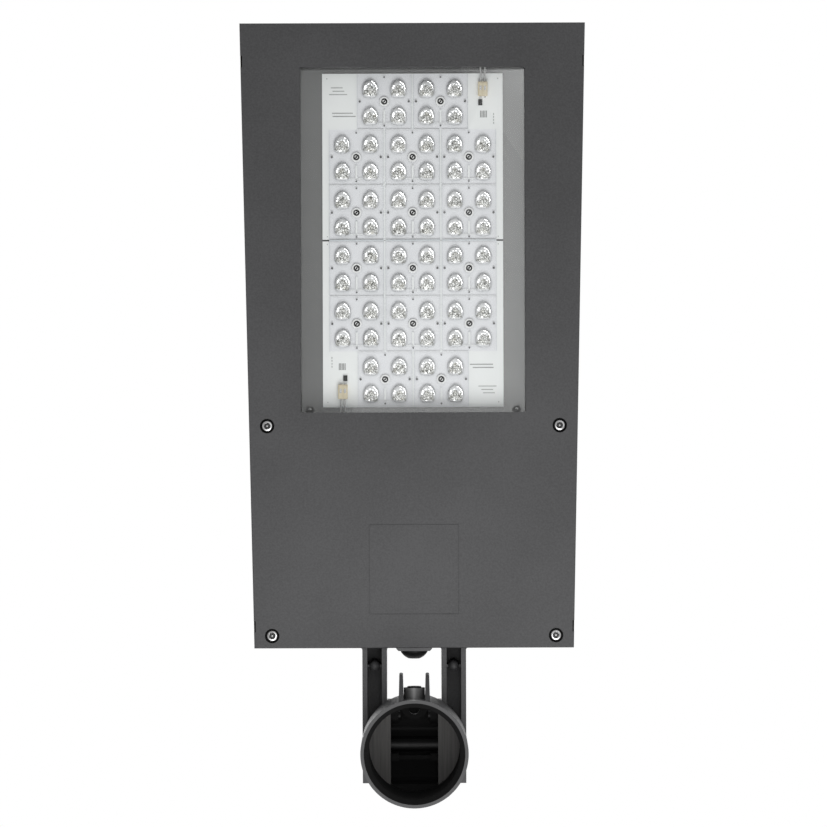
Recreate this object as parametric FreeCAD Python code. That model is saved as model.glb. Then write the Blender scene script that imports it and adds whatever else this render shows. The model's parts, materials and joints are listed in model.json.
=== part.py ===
"""LED street light head on a tilting pole socket, in millimetres.

The origin is on the axis of the pole socket, where its straight bore begins
above the flared mouth. +Z is up, +Y runs from the pole to the tip of the head,
and the light leaves the head along -Z.
"""

import FreeCAD
import Part
import math
import os

V = FreeCAD.Vector
ALONG_X = V(1, 0, 0)
ALONG_Y = V(0, 1, 0)
ALONG_Z = V(0, 0, 1)

# Pole socket
pole_radius = 38.0
pole_clearance = 2.0
bore_depth = 74.0
mouth_flare = 4.0
mouth_flare_depth = 6.0
socket_wall = 6.9
socket_floor = 4.0
socket_rounding = 3.0
cable_slot_width = 42.0
cable_slot_end_step = 1.0
cross_rib_thickness = 2.0
cross_rib_height = 6.0
cross_rib_ahead = 14.5

# Hood on the socket, whose two cheeks carry the pivot
hood_wall = 3.0
hood_behind = 36.5
hood_ahead = 40.0
hood_above_pivot = 18.5
hood_rounding = 6.0

# Clamp screw and its boss
clamp_screw_radius = 6.0
clamp_screw_length = 16.5
clamp_screw_socket = 6.0
clamp_socket_depth = 6.0
clamp_boss_radius = 9.25
clamp_boss_reach = 8.7
clamp_height = 24.0
guard_rib_gap = 0.15
guard_rib_root = 4.2
guard_rib_tip = 3.2
guard_rib_chamfer = 0.9
guard_rib_reach = 19.6
guard_rib_low = -2.0
guard_rib_tip_low = 30.0
guard_rib_tip_high = 58.0
guard_rib_high = 70.0

# Cable grommet and cable clamp in the socket
grommet_radius = 12.4
grommet_edge_gap = 3.4
grommet_top = 3.0
grommet_hole_radius = 4.75
clamp_bar_width = 3.6
clamp_bar_thickness = 2.0
clamp_bar_behind = 9.9
clamp_bar_eye_radius = 2.9
clamp_bar_screw_radius = 1.5
clamp_bar_head_radius = 3.1
clamp_bar_head_height = 1.7
clamp_bar_screw_length = 7.0
clamp_lug_width = 7.0
clamp_lug_height = 8.0

# Pivot and lock bolts
pivot_rise = 16.0
bolt_radius = 4.0
bolt_head_across = 13.0
bolt_head_height = 5.3
bolt_nut_height = 6.5
bolt_end = 1.8
access_hole_radius = 8.0
lock_bolt_radius_from_pivot = 26.0
pivot_sleeve_radius = 6.2
tilt_up = 15.0

# Arms of the housing
arm_width = 21.7
arm_wall = 4.4
arm_web = 4.5
arm_tail = 34.0
arm_below_pivot = 13.0
arm_above_pivot = 18.0
arm_root_above_pivot = 40.0
arm_tail_rounding = 12.0
arm_boss_radius = 4.8
arm_boss_ahead = 69.9
arm_boss_above_pivot = 2.0
arm_boss_web = 2.0
arm_root_fillet = 2.0

# Head outline
rear_width = 283.1
tip_width = 306.2
head_setback = 86.85
lid_thickness = 4.0
lid_edge_rounding = 1.0

# Upper housing
housing_wall = 3.5
rear_rise = 62.0
crown_rise = 77.0
crown_from_rear = 62.0
tip_rise = 38.0
wall_draft = 4.0
roof_rounding = 10.0
seal_lip_height = 4.0
seal_lip_thickness = 3.0
seal_lip_reach = 8.0
gasket_width = 3.5
bay_room_ahead = 18.0
fin_root_thickness = 4.0
fin_thickness = 4.0
fin_pitch = 18.0
fin_rail = 7.0
bay_front_wall = 5.0

# Cover screws
cover_screw_inset = 16.0
cover_screw_from_rear = 11.0
cover_screw_spacing = 186.0
cover_screw_radius = 3.0
cover_screw_length = 16.0
cover_head_radius = 5.15
cover_head_height = 3.3
cover_head_socket = 4.0
cover_socket_depth = 2.0
cover_screw_tip_room = 1.0
cover_recess_radius = 6.45
cover_recess_depth = 4.4
cover_recess_wall = 1.6
cover_recess_floor = 2.4
housing_boss_radius = 7.5
housing_boss_height = 24.0
housing_boss_web = 3.0

# Window and its glass
window_width = 199.4
window_length = 306.1
window_from_bay = 9.75
window_from_tip = 39.0
glass_thickness = 4.0
glass_overlap = 8.5
glass_gasket_thickness = 1.5
glass_gasket_width = 6.5
clip_count = 2
clip_length = 17.0
clip_width = 12.0
clip_thickness = 1.5
clip_boss_radius = 4.0
clip_boss_beyond_glass = 5.5
clip_screw_radius = 2.0
clip_head_radius = 3.5
clip_head_height = 2.2

# Engraved square and pry notches on the cover
square_size = 80.0
square_from_rear = 70.0
square_groove_width = 0.9
square_groove_depth = 0.5
notch_length = 10.0
notch_depth = 1.6
notch_from_rear = 19.2
notch_from_tip = 33.7

# Light engine
lens_gap = 3.9
lens_height = 4.5
lens_base_thickness = 1.5
lens_width = 15.1
lens_length = 16.0
lens_top_share = 0.62
lens_spacing = 25.1
lens_arc_steps = 4
module_pitch_x = 50.05
module_pitch_y = 49.42
module_gap = 0.4
board_columns_wide = 3
board_columns_narrow = 2
rows_per_board = 3
board_width = 160.6
board_thickness = 1.6
board_end_margin = 0.1
board_gap = 0.4
board_shift = 0.0
chip_size = 5.0
chip_height = 0.7
chip_pocket_clearance = 0.5
lens_screw_radius = 1.5
lens_screw_depth = 2.5
lens_head_radius = 2.75
lens_head_height = 1.6

# Terminals and leads of the boards
terminal_width = 8.5
terminal_length = 12.9
terminal_height = 6.0
terminal_chamfer = 1.1
terminal_from_axis = 62.6
terminal_from_end = 7.4
diode_width = 3.6
diode_length = 5.2
diode_height = 1.5
diode_beyond_terminal = 2.9
diode_from_axis = 60.4
lead_radius = 0.8
lead_spacing = 3.6
lead_height = 3.0
sleeve_radius = 2.8
sleeve_bend = 12.0
sleeve_beyond_window = 18.6
sleeve_run_from_window = 14.0

# Heat plate
heat_plate_thickness = 4.0
heat_plate_side_margin = 5.6
heat_plate_rear_margin = 6.5
heat_plate_tip_margin = 10.5
heat_plate_screw_radius = 2.5
heat_plate_head_radius = 3.6
heat_plate_head_height = 2.6
heat_plate_screw_depth = 3.0
heat_plate_screw_from_axis = 91.9
heat_plate_screw_from_end = 8.6
heat_plate_tip_screw_from_end = 4.7

# Gear in the rear bay
tray_thickness = 1.5
tray_half_width = 112.0
tray_from_rear = 26.0
tray_length = 155.0
tray_above_ceiling = 29.0
tray_boss_radius = 5.0
tray_screw_radius = 2.5
tray_head_radius = 4.5
tray_head_height = 2.8
tray_screw_inset = 8.0
tray_screw_depth = 8.0
driver_length = 150.0
driver_width = 62.0
driver_height = 40.0
driver_from_tray_front = 4.0
driver_ear = 9.0
driver_ear_thickness = 3.0
driver_screw_radius = 2.0
driver_head_radius = 3.5
driver_head_height = 2.2
driver_rounding = 3.0
surge_length = 52.0
surge_width = 33.0
surge_height = 27.0
mains_block_length = 46.0
mains_block_width = 21.0
mains_block_height = 19.0
mains_block_ways = 3
saddle_half = 5.0
saddle_thickness = 2.0
saddle_width = 12.0
saddle_foot = 11.0
saddle_from_rear = 46.0
gear_gap = 14.0

# Cable gland in the rear wall
gland_above_seam = 22.0
gland_pad_radius = 15.9
gland_pad_reach = 3.3
gland_pad_chamfer = 1.0
gland_thread_radius = 10.0
gland_bore_radius = 5.0
gland_flange_radius = 11.9
gland_flange_thickness = 1.5
gland_dome_height = 6.8
gland_seat_inside = 2.0
gland_stub_inside = 9.0
gland_locknut_across = 26.0
gland_locknut_thickness = 5.0
gland_seal_radius = 7.5
gland_seal_thickness = 2.5

# Clearances
side_clearance = 0.3
running_clearance = 0.05
thread_clearance = 0.05
through_clearance = 0.2
slot_clearance = 0.3
gasket_clearance = 0.2

# Places worked out from the sizes above
bore_radius = pole_radius + pole_clearance
socket_radius = bore_radius + socket_wall
socket_top = bore_depth + socket_floor
pivot_height = socket_top + pivot_rise
seam = pivot_height - arm_below_pivot
lid_face = seam - lid_thickness
rear = head_setback
slot_half = cable_slot_width / 2
cable_slot_end = bore_radius - cable_slot_end_step
cheek_outside = slot_half + hood_wall
arm_inside = cheek_outside + side_clearance
arm_outside = arm_inside + arm_width
bay_front = rear + tray_from_rear + tray_length + bay_room_ahead
window_rear = bay_front + window_from_bay
window_tip = window_rear + window_length
tip = window_tip + window_from_tip
window_half = window_width / 2
glass_low = seam + glass_gasket_thickness
glass_high = glass_low + glass_thickness
lens_tip = glass_high + lens_gap
lens_base_face = lens_tip + lens_height
board_face = lens_base_face + lens_base_thickness
plate_face = board_face + board_thickness
ceiling = plate_face + heat_plate_thickness
fin_root = ceiling + fin_root_thickness
tray_face = ceiling + tray_above_ceiling
roof_clear = seam + 2 * crown_rise
engine_middle = (window_rear + window_tip) / 2 + board_shift
gland_height = seam + gland_above_seam
gland_pad_face = rear - gland_pad_reach
gland_seat = rear + housing_wall + gland_seat_inside
cover_recess_top = lid_face + cover_recess_depth
cover_boss_top = cover_recess_top + cover_recess_floor


def half_width(y):
    """Half the width of the head's outline at y."""
    share = (y - rear) / (tip - rear)
    return (rear_width + (tip_width - rear_width) * share) / 2


def box(x0, x1, y0, y1, z0, z1):
    return Part.makeBox(x1 - x0, y1 - y0, z1 - z0, V(x0, y0, z0))


def rod(radius, x, y, z, length, along=ALONG_Z):
    return Part.makeCylinder(radius, length, V(x, y, z), along)


def hexagon(across, x, y, z, length, along=ALONG_Z):
    """A hexagonal prism, across its flats, from (x, y, z)."""
    corner = across / math.sqrt(3)
    turn = FreeCAD.Rotation(ALONG_Z, along)
    points = []
    for step in range(7):
        angle = math.radians(60 * step)
        flat = V(corner * math.cos(angle), corner * math.sin(angle), 0)
        points.append(V(x, y, z) + turn.multVec(flat))
    face = Part.Face(Part.makePolygon(points))
    return face.extrude(V(along) * length)


def stud(radius, x, y, z, length, along=ALONG_Z):
    """A small fastener's head, shank or hole, with few faces."""
    return hexagon(2 * radius, x, y, z, length, along)


def closed_face(corners):
    return Part.Face(Part.makePolygon(corners + corners[:1]))


def frustum(low, high):
    """A solid with flat sides between two outlines with as many corners."""
    faces = [closed_face(low), closed_face(high)]
    for step in range(len(low)):
        after = (step + 1) % len(low)
        faces.append(closed_face([low[step], low[after], high[after], high[step]]))
    solid = Part.makeSolid(Part.makeShell(faces))
    if solid.Volume < 0:
        solid.reverse()
    return solid


def slab(points, x0, x1):
    """A flat outline of (y, z) points, drawn out from x0 to x1."""
    corners = [V(x0, y, z) for y, z in points]
    return closed_face(corners).extrude(V(x1 - x0, 0, 0))


def edges_where(shape, test):
    return [edge for edge in shape.Edges if test(edge)]


def runs_along(edge, axis):
    """True for a straight edge that lies along one of the three axes."""
    if not isinstance(edge.Curve, Part.Line):
        return False
    direction = edge.Curve.Direction
    return abs(abs(direction.dot(axis)) - 1) < 1e-6


def mirrored(shape):
    return shape.mirror(V(0, 0, 0), ALONG_X)


def both_sides(shape):
    return [shape, mirrored(shape)]


def screw(radius, head_radius, head_height, x, y, seat, length, down=True):
    """A plain screw along Z. Its head hangs below the seat when down is true."""
    sign = 1 if down else -1
    head = stud(head_radius, x, y, seat, head_height, ALONG_Z * -sign)
    shank = stud(radius, x, y, seat, length, ALONG_Z * sign)
    return head.fuse(shank)


def save(name, *shapes):
    solids = [solid for shape in shapes for solid in shape.Solids]
    result = solids[0] if len(solids) == 1 else Part.makeCompound(solids)
    result.exportStep(os.path.join("parts", name + ".step"))


def plan_block(inset, y0, y1, z0, z1, draft=0.0):
    """A block with the head's outline, set in from its sides and drafted."""
    outlines = []
    for z, lean in ((z0, 0.0), (z1, draft)):
        side0 = half_width(y0 + lean) - inset - lean
        side1 = half_width(y1 - lean) - inset - lean
        outlines.append([
            V(-side0, y0 + lean, z),
            V(side0, y0 + lean, z),
            V(side1, y1 - lean, z),
            V(-side1, y1 - lean, z),
        ])
    if draft == 0.0:
        return closed_face(outlines[0]).extrude(V(0, 0, z1 - z0))
    return frustum(*outlines)


def under_roof(drop):
    """Everything under the three planes of the roof, lowered by drop."""
    slope = (crown_rise - rear_rise) / crown_from_rear
    outline = [
        (0.0, 0.0),
        (0.0, seam + rear_rise - slope * rear - drop),
        (rear + crown_from_rear, seam + crown_rise - drop),
        (bay_front, seam + crown_rise - drop),
        (tip, seam + tip_rise - drop),
        (tip, 0.0),
    ]
    return slab(outline, -tip_width, tip_width)


def cover_screw_places():
    places = []
    for step in range(2):
        y = rear + cover_screw_from_rear + cover_screw_spacing * step
        x = half_width(y) - cover_screw_inset
        places += [(-x, y), (x, y)]
    return places


def clip_places():
    """Where the glass clips stand: the boss, and the side it is on."""
    x = window_half + glass_overlap + clip_boss_beyond_glass
    places = []
    for step in range(clip_count):
        y = window_rear + window_length * (step + 0.5) / clip_count
        places += [(-x, y, -1), (x, y, 1)]
    return places


def module_places():
    """The middle of each lens module, row by row from the tip."""
    rows = 2 * rows_per_board
    places = []
    for row in range(rows):
        y = engine_middle + module_pitch_y * ((rows - 1) / 2 - row)
        outer = row in (0, rows - 1)
        columns = board_columns_narrow if outer else board_columns_wide
        for column in range(columns):
            x = module_pitch_x * (column - (columns - 1) / 2)
            places.append((x, y))
    return places


def lens_places():
    half = lens_spacing / 2
    places = []
    for x, y in module_places():
        places += [(x + sx * half, y + sy * half) for sx in (-1, 1) for sy in (-1, 1)]
    return places


def turned_about_engine(shape):
    """The same piece on the rear board, which is turned half round."""
    return shape.rotated(V(0, engine_middle, 0), ALONG_Z, 180)


def make_pole_socket():
    mouth = -mouth_flare_depth
    outside = rod(socket_radius, 0, 0, mouth, socket_top - mouth)
    rim = edges_where(outside, lambda edge: edge.BoundBox.ZMin > socket_top - 0.1)
    outside = outside.makeChamfer(socket_rounding, rim)
    bore = rod(bore_radius, 0, 0, mouth, bore_depth - mouth)
    flare = Part.makeCone(bore_radius + mouth_flare, bore_radius, mouth_flare_depth, V(0, 0, mouth))

    boss = rod(clamp_boss_radius, 0, 0, clamp_height, socket_radius + clamp_boss_reach, ALONG_Y)
    root = bore_radius + socket_wall / 2
    reach = socket_radius + guard_rib_reach
    rib_outline = [
        (root, guard_rib_low),
        (reach, guard_rib_tip_low),
        (reach, guard_rib_tip_high),
        (root, guard_rib_high),
    ]
    near = clamp_boss_radius + guard_rib_gap
    rib = slab(rib_outline, near, near + guard_rib_root)
    tips = edges_where(rib, lambda e: runs_along(e, ALONG_X) and e.BoundBox.YMin > reach - 0.1)
    rib = rib.makeFillet(socket_rounding, tips)
    middle = near + guard_rib_root / 2
    half = guard_rib_tip / 2
    plan = [
        V(near, root, mouth),
        V(near + guard_rib_root, root, mouth),
        V(middle + half, reach - guard_rib_chamfer, mouth),
        V(middle + half - guard_rib_chamfer, reach, mouth),
        V(middle - half + guard_rib_chamfer, reach, mouth),
        V(middle - half, reach - guard_rib_chamfer, mouth),
    ]
    rib = rib.common(closed_face(plan).extrude(V(0, 0, socket_top)))

    lug = box(
        slot_half - clamp_lug_width,
        slot_half,
        -clamp_bar_behind - clamp_lug_width / 2,
        -clamp_bar_behind + clamp_lug_width / 2,
        socket_top,
        socket_top + clamp_lug_height,
    )
    cross_rib = box(
        -slot_half,
        slot_half,
        cross_rib_ahead,
        cross_rib_ahead + cross_rib_thickness,
        socket_top,
        socket_top + cross_rib_height,
    )
    cable_slot = box(-slot_half, slot_half, -hood_behind + hood_wall, socket_radius,
                     bore_depth, socket_top)
    cable_slot = cable_slot.common(rod(cable_slot_end, 0, 0, bore_depth, socket_floor))

    socket = outside.fuse([boss] + both_sides(rib))
    socket = socket.cut([bore, flare, cable_slot])
    socket = socket.fuse([make_hood(), cross_rib] + both_sides(lug))
    holes = [rod(clamp_screw_radius + thread_clearance, 0, bore_radius / 2, clamp_height,
                 socket_radius + clamp_boss_reach, ALONG_Y)]
    for x in (-clamp_screw_place(), clamp_screw_place()):
        holes.append(stud(clamp_bar_screw_radius + thread_clearance, x, -clamp_bar_behind,
                         socket_top, clamp_bar_screw_length))
    return socket.cut(holes).removeSplitter()


def make_hood():
    """The hood over the cable slot, open towards the head."""
    height = pivot_height + hood_above_pivot
    outline = [
        (-hood_behind, bore_depth),
        (-hood_behind, height),
        (hood_ahead, height),
        (hood_ahead, bore_depth),
    ]
    hood = slab(outline, -cheek_outside, cheek_outside)
    top = edges_where(hood, lambda e: runs_along(e, ALONG_X) and e.BoundBox.ZMin > height - 0.1)
    hood = hood.makeFillet(hood_rounding, top)
    back = -hood_behind + hood_wall
    inside = [
        (back, bore_depth),
        (back, height - hood_rounding),
        (-hood_behind + hood_rounding, height - hood_wall),
        (hood_ahead, height - hood_wall),
        (hood_ahead, bore_depth),
    ]
    pivot = rod(bolt_radius + running_clearance, -cheek_outside, 0, pivot_height,
                2 * cheek_outside, ALONG_X)
    return hood.cut([slab(inside, -slot_half, slot_half), pivot] + both_sides(lock_slot()))


def clamp_screw_place():
    """How far from the middle the two screws of the cable clamp stand."""
    return slot_half - side_clearance - 2 * clamp_bar_eye_radius / math.sqrt(3)


def lock_slot():
    """The arc in a cheek that lets the lock bolt swing with the arms."""
    radius = lock_bolt_radius_from_pivot
    reach = bolt_radius + slot_clearance
    centre = V(0, 0, pivot_height)
    ring = Part.makeCylinder(radius + reach, arm_outside, centre, ALONG_X)
    ring = ring.cut(Part.makeCylinder(radius - reach, arm_outside, centre, ALONG_X))
    far = 2 * radius
    rise = math.tan(math.radians(tilt_up)) * far
    wedge = slab([(0, pivot_height), (far, pivot_height), (far, pivot_height + rise)], 0, arm_outside)
    ends = []
    for angle in (0, tilt_up):
        y = radius * math.cos(math.radians(angle))
        z = pivot_height + radius * math.sin(math.radians(angle))
        ends.append(rod(reach, 0, y, z, arm_outside, ALONG_X))
    return ring.common(wedge).fuse(ends)


def make_clamp_screw():
    start = bore_radius + side_clearance
    body = rod(clamp_screw_radius, 0, start, clamp_height, clamp_screw_length, ALONG_Y)
    end = start + clamp_screw_length - clamp_socket_depth
    return body.cut(hexagon(clamp_screw_socket, 0, end, clamp_height, clamp_socket_depth, ALONG_Y))


def make_cable_grommet():
    y = bore_radius - grommet_edge_gap
    flange = rod(grommet_radius, 0, y, socket_top, grommet_top)
    plug = rod(grommet_radius, 0, y, bore_depth + side_clearance, socket_floor - side_clearance)
    plug = plug.common(rod(cable_slot_end, 0, 0, bore_depth, socket_floor))
    hole = rod(grommet_hole_radius, 0, y - grommet_edge_gap, bore_depth, socket_floor + grommet_top)
    return flange.fuse(plug).cut(hole).removeSplitter()


def make_cord_clamp_bar():
    place = clamp_screw_place()
    low = socket_top - clamp_bar_thickness
    half = clamp_bar_width / 2
    bar = box(-place, place, -clamp_bar_behind - half, -clamp_bar_behind + half, low, socket_top)
    for x in (-place, place):
        bar = bar.fuse(stud(clamp_bar_eye_radius, x, -clamp_bar_behind, low, clamp_bar_thickness))
    for x in (-place, place):
        hole_radius = clamp_bar_screw_radius + through_clearance
        bar = bar.cut(stud(hole_radius, x, -clamp_bar_behind, low, clamp_bar_thickness))
    return bar.removeSplitter()


def make_cord_clamp_screws():
    low = socket_top - clamp_bar_thickness
    return [screw(clamp_bar_screw_radius, clamp_bar_head_radius, clamp_bar_head_height,
                  x, -clamp_bar_behind, low, clamp_bar_screw_length)
            for x in (-clamp_screw_place(), clamp_screw_place())]


def arm_outline(inset):
    """The side outline of an arm, set in from its tail and its top."""
    slope = math.tan(math.radians(tilt_up + 0.5))
    tail = -arm_tail + inset
    root = rear + housing_wall
    rise = arm_root_above_pivot - arm_above_pivot
    top_at_tail = pivot_height + arm_above_pivot - inset
    top_at_root = top_at_tail + rise
    low_at_tail = seam + (arm_tail - bolt_radius - inset) * slope
    return [
        (root, seam),
        (-bolt_radius, seam),
        (tail, low_at_tail),
        (tail, top_at_tail),
        (root, top_at_root),
    ]


def make_arm():
    """One arm: a channel that is open below, with a boss cast inside."""
    arm = slab(arm_outline(0.0), arm_inside, arm_outside)
    corner = pivot_height + arm_above_pivot
    across = [edge for edge in arm.Edges if runs_along(edge, ALONG_X)]
    tail = [e for e in across if e.BoundBox.YMax < -arm_tail + 0.1 and e.BoundBox.ZMin > corner - 0.1]
    arm = arm.makeFillet(arm_tail_rounding, tail)
    middle = (arm_inside + arm_outside) / 2
    inside = arm_outline(arm_web)
    inside[0] = (rear, lid_face)
    inside[-1] = (rear, inside[-1][1])
    inside[1] = (-arm_tail + arm_web, lid_face)
    inside[2] = (-arm_tail + arm_web, seam)
    channel = slab(inside, arm_inside + arm_wall, arm_outside - arm_wall)
    corner -= arm_web
    across = [edge for edge in channel.Edges if runs_along(edge, ALONG_X)]
    deep = [e for e in across if e.BoundBox.YMax < 0 and e.BoundBox.ZMin > corner - 0.1]
    channel = channel.makeFillet(arm_tail_rounding - arm_web, deep)
    boss_low = pivot_height + arm_boss_above_pivot
    boss = rod(arm_boss_radius, middle, arm_boss_ahead, boss_low, arm_root_above_pivot)
    dome = Part.makeSphere(arm_boss_radius, V(middle, arm_boss_ahead, boss_low))
    half = arm_boss_web / 2
    web = box(arm_inside, arm_outside, arm_boss_ahead - half, arm_boss_ahead + half,
              boss_low, boss_low + arm_root_above_pivot)
    boss = boss.fuse([dome, web]).common(arm)
    arm = arm.cut(channel).fuse(boss)
    holes = []
    for y in (0.0, lock_bolt_radius_from_pivot):
        holes.append(rod(bolt_radius + through_clearance, 0, y, pivot_height, arm_outside, ALONG_X))
        holes.append(rod(access_hole_radius, middle, y, pivot_height, arm_width, ALONG_X))
    return arm.cut(holes)


def is_ridge(edge):
    """True for an edge across the roof, between its rear and its tip."""
    middle = edge.BoundBox.Center.y
    return runs_along(edge, ALONG_X) and rear + wall_draft < middle < tip - wall_draft


def is_arm_root(edge):
    """True for the upright edges where the arms meet the rear wall."""
    space = edge.BoundBox
    on_side = abs(abs(space.Center.x) - arm_inside) < 0.1 or abs(abs(space.Center.x) - arm_outside) < 0.1
    on_wall = rear - 0.1 < space.YMin and space.YMax < rear + wall_draft
    return on_side and on_wall and space.XLength < 0.1 and space.ZLength > arm_above_pivot


def make_upper_housing():
    outside = plan_block(0.0, rear, tip, seam, roof_clear, wall_draft).common(under_roof(0.0))
    top = edges_where(outside, lambda e: e.BoundBox.ZMin > seam + tip_rise / 2 and not is_ridge(e))
    outside = outside.makeFillet(roof_rounding, top)

    wall = housing_wall
    bay = plan_block(wall, rear + wall, bay_front, seam, roof_clear, wall_draft)
    bay = bay.common(under_roof(wall))
    recess = plan_block(wall, bay_front - wall, tip - wall, seam, ceiling)
    housing = outside.cut([bay, recess])

    slots = []
    usable = half_width(bay_front) - fin_rail - wall_draft
    count = int((2 * usable + fin_thickness) / fin_pitch)
    width = fin_pitch - fin_thickness
    for step in range(count):
        x = (step - (count - 1) / 2) * fin_pitch
        slots.append(box(x - width / 2, x + width / 2, bay_front + bay_front_wall, tip + wall,
                         fin_root, roof_clear))
    housing = housing.cut(slots)

    lip_low = seam + seal_lip_height
    lip_high = lip_low + seal_lip_thickness
    lip = plan_block(wall / 2, rear + wall / 2, tip - wall / 2, lip_low, lip_high)
    reach = wall + seal_lip_reach
    lip = lip.cut(plan_block(reach, rear + reach, tip - reach, lip_low, lip_high))
    detour = cover_boss_radius() + 2 * gasket_clearance + gasket_width

    added = [lip]
    for x, y in cover_screw_places():
        side = math.copysign(1, x)
        edge = x + side * (cover_screw_inset - wall / 2)
        added.append(stud(housing_boss_radius, x, y, cover_boss_top, housing_boss_height))
        added.append(stud(detour, x, y, lip_low, seal_lip_thickness).common(outside))
        half = housing_boss_web / 2
        web_top = cover_boss_top + housing_boss_height
        added.append(box(min(x, edge), max(x, edge), y - half, y + half, lip_low, web_top))
    for x, y in tray_screw_places():
        boss = stud(tray_boss_radius, x, y, tray_face + tray_thickness, crown_rise)
        added.append(boss.common(outside))
    pad = rod(gland_pad_radius, 0, gland_pad_face, gland_height, gland_seat - gland_pad_face, ALONG_Y)
    rim = edges_where(pad, lambda e: e.BoundBox.YMax < gland_pad_face + 0.1)
    added.append(pad.makeChamfer(gland_pad_chamfer, rim))
    foot = box(-gland_pad_radius, gland_pad_radius, gland_pad_face, rear + wall,
               gland_height - gland_pad_radius, gland_height)
    corners = edges_where(foot, lambda e: runs_along(e, ALONG_Z) and e.BoundBox.YMax < gland_pad_face + 0.1)
    added.append(foot.makeChamfer(2 * gland_pad_chamfer, corners))
    added += both_sides(make_arm())
    housing = housing.fuse(added).removeSplitter()
    housing = housing.makeFillet(arm_root_fillet, edges_where(housing, is_arm_root))

    holes = []
    for x, y in cover_screw_places():
        holes.append(stud(cover_screw_radius + thread_clearance, x, y, cover_recess_top,
                          cover_screw_length + cover_screw_tip_room))
        relief = stud(cover_boss_radius() + gasket_clearance, x, y, seam, cover_boss_top - seam)
        holes.append(relief)
    hole_depth = tray_screw_depth + tray_thickness
    for x, y in tray_screw_places():
        holes.append(stud(tray_screw_radius + thread_clearance, x, y, tray_face, hole_depth))
    for x, y in heat_plate_screw_places():
        holes.append(stud(heat_plate_screw_radius + thread_clearance, x, y, ceiling,
                          heat_plate_screw_depth))
    hole_radius = gland_thread_radius + through_clearance
    holes.append(rod(hole_radius, 0, gland_pad_face, gland_height, gland_seat - gland_pad_face, ALONG_Y))
    return housing.cut(holes).removeSplitter()


def make_cover_frame():
    plate = plan_block(0.0, rear, tip, lid_face, seam)
    low = edges_where(plate, lambda e: e.BoundBox.ZMax < lid_face + 0.1)
    plate = plate.makeFillet(lid_edge_rounding, low)
    hole_radius = cover_screw_radius + through_clearance
    bosses = []
    cuts = [box(-window_half, window_half, window_rear, window_tip, lid_face, seam)]
    for x, y in cover_screw_places():
        bosses.append(stud(cover_boss_radius(), x, y, seam, cover_boss_top - seam))
        cuts.append(rod(cover_recess_radius, x, y, lid_face, cover_recess_depth))
        cuts.append(stud(hole_radius, x, y, lid_face, lid_thickness + seal_lip_height))
    for x, y, side in clip_places():
        bosses.append(stud(clip_boss_radius, x, y, seam, glass_high - seam))
        cuts.append(stud(clip_screw_radius + thread_clearance, x, y, seam, glass_high - seam))
    square_y = rear + square_from_rear
    half = square_size / 2
    depth = square_groove_depth
    groove = box(-half, half, square_y - half, square_y + half, lid_face, lid_face + depth)
    half -= square_groove_width
    groove = groove.cut(box(-half, half, square_y - half, square_y + half, lid_face, lid_face + depth))
    cuts.append(groove)
    for y in (rear + notch_from_rear, tip - notch_from_tip):
        x = half_width(y)
        half = notch_length / 2
        cuts += both_sides(box(x - notch_depth, x + notch_depth, y - half, y + half, lid_face, seam))
    return plate.fuse(bosses).cut(cuts).removeSplitter()


def make_cover_screws():
    """Round heads with a hex socket, sunk in the recesses of the cover."""
    screws = []
    low = cover_recess_top - cover_head_height
    for x, y in cover_screw_places():
        head = rod(cover_head_radius, x, y, low, cover_head_height)
        shank = stud(cover_screw_radius, x, y, cover_recess_top, cover_screw_length)
        socket = hexagon(cover_head_socket, x, y, low, cover_socket_depth)
        screws.append(head.fuse(shank).cut(socket))
    return screws


def cover_boss_radius():
    return cover_recess_radius + cover_recess_wall


def make_housing_gasket():
    """A flat strip inside the wall, which steps inwards round the screws."""
    outer = housing_wall + gasket_clearance
    inner = outer + gasket_width
    high = seam + seal_lip_height
    room = plan_block(outer, rear + outer, tip - outer, seam, high)
    ring = room.cut(plan_block(inner, rear + inner, tip - inner, seam, high))
    relief = cover_boss_radius() + gasket_clearance
    places = cover_screw_places()
    detours = [stud(relief + gasket_width, x, y, seam, seal_lip_height).common(room) for x, y in places]
    reliefs = [stud(relief, x, y, seam, seal_lip_height) for x, y in places]
    return ring.fuse(detours).cut(reliefs).removeSplitter()


def over_window(reach, z0, z1):
    """A flat block over the window that reaches past its edges."""
    half = window_half + reach
    return box(-half, half, window_rear - reach, window_tip + reach, z0, z1)


def make_glass_gasket():
    return over_window(glass_gasket_width, seam, glass_low).cut(over_window(0.0, seam, glass_low))


def make_window_glass():
    return over_window(glass_overlap, glass_low, glass_high)


def make_glass_clips():
    clips = []
    for x, y, side in clip_places():
        outer = x + side * clip_boss_radius
        inner = outer - side * clip_length
        plate = box(min(inner, outer), max(inner, outer), y - clip_width / 2, y + clip_width / 2,
                    glass_high, glass_high + clip_thickness)
        hole = stud(clip_screw_radius + through_clearance, x, y, glass_high, clip_thickness)
        clips.append(plate.cut(hole))
    return clips


def make_glass_clip_screws():
    top = glass_high + clip_thickness
    length = clip_thickness + glass_high - seam
    return [screw(clip_screw_radius, clip_head_radius, clip_head_height, x, y, top, length, down=False)
            for x, y, side in clip_places()]


def heat_plate_screw_places():
    rear_row = window_rear - heat_plate_rear_margin + heat_plate_screw_from_end
    tip_row = window_tip + heat_plate_tip_margin - heat_plate_tip_screw_from_end
    return [(sx * heat_plate_screw_from_axis, y) for y in (rear_row, tip_row) for sx in (-1, 1)]


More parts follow.
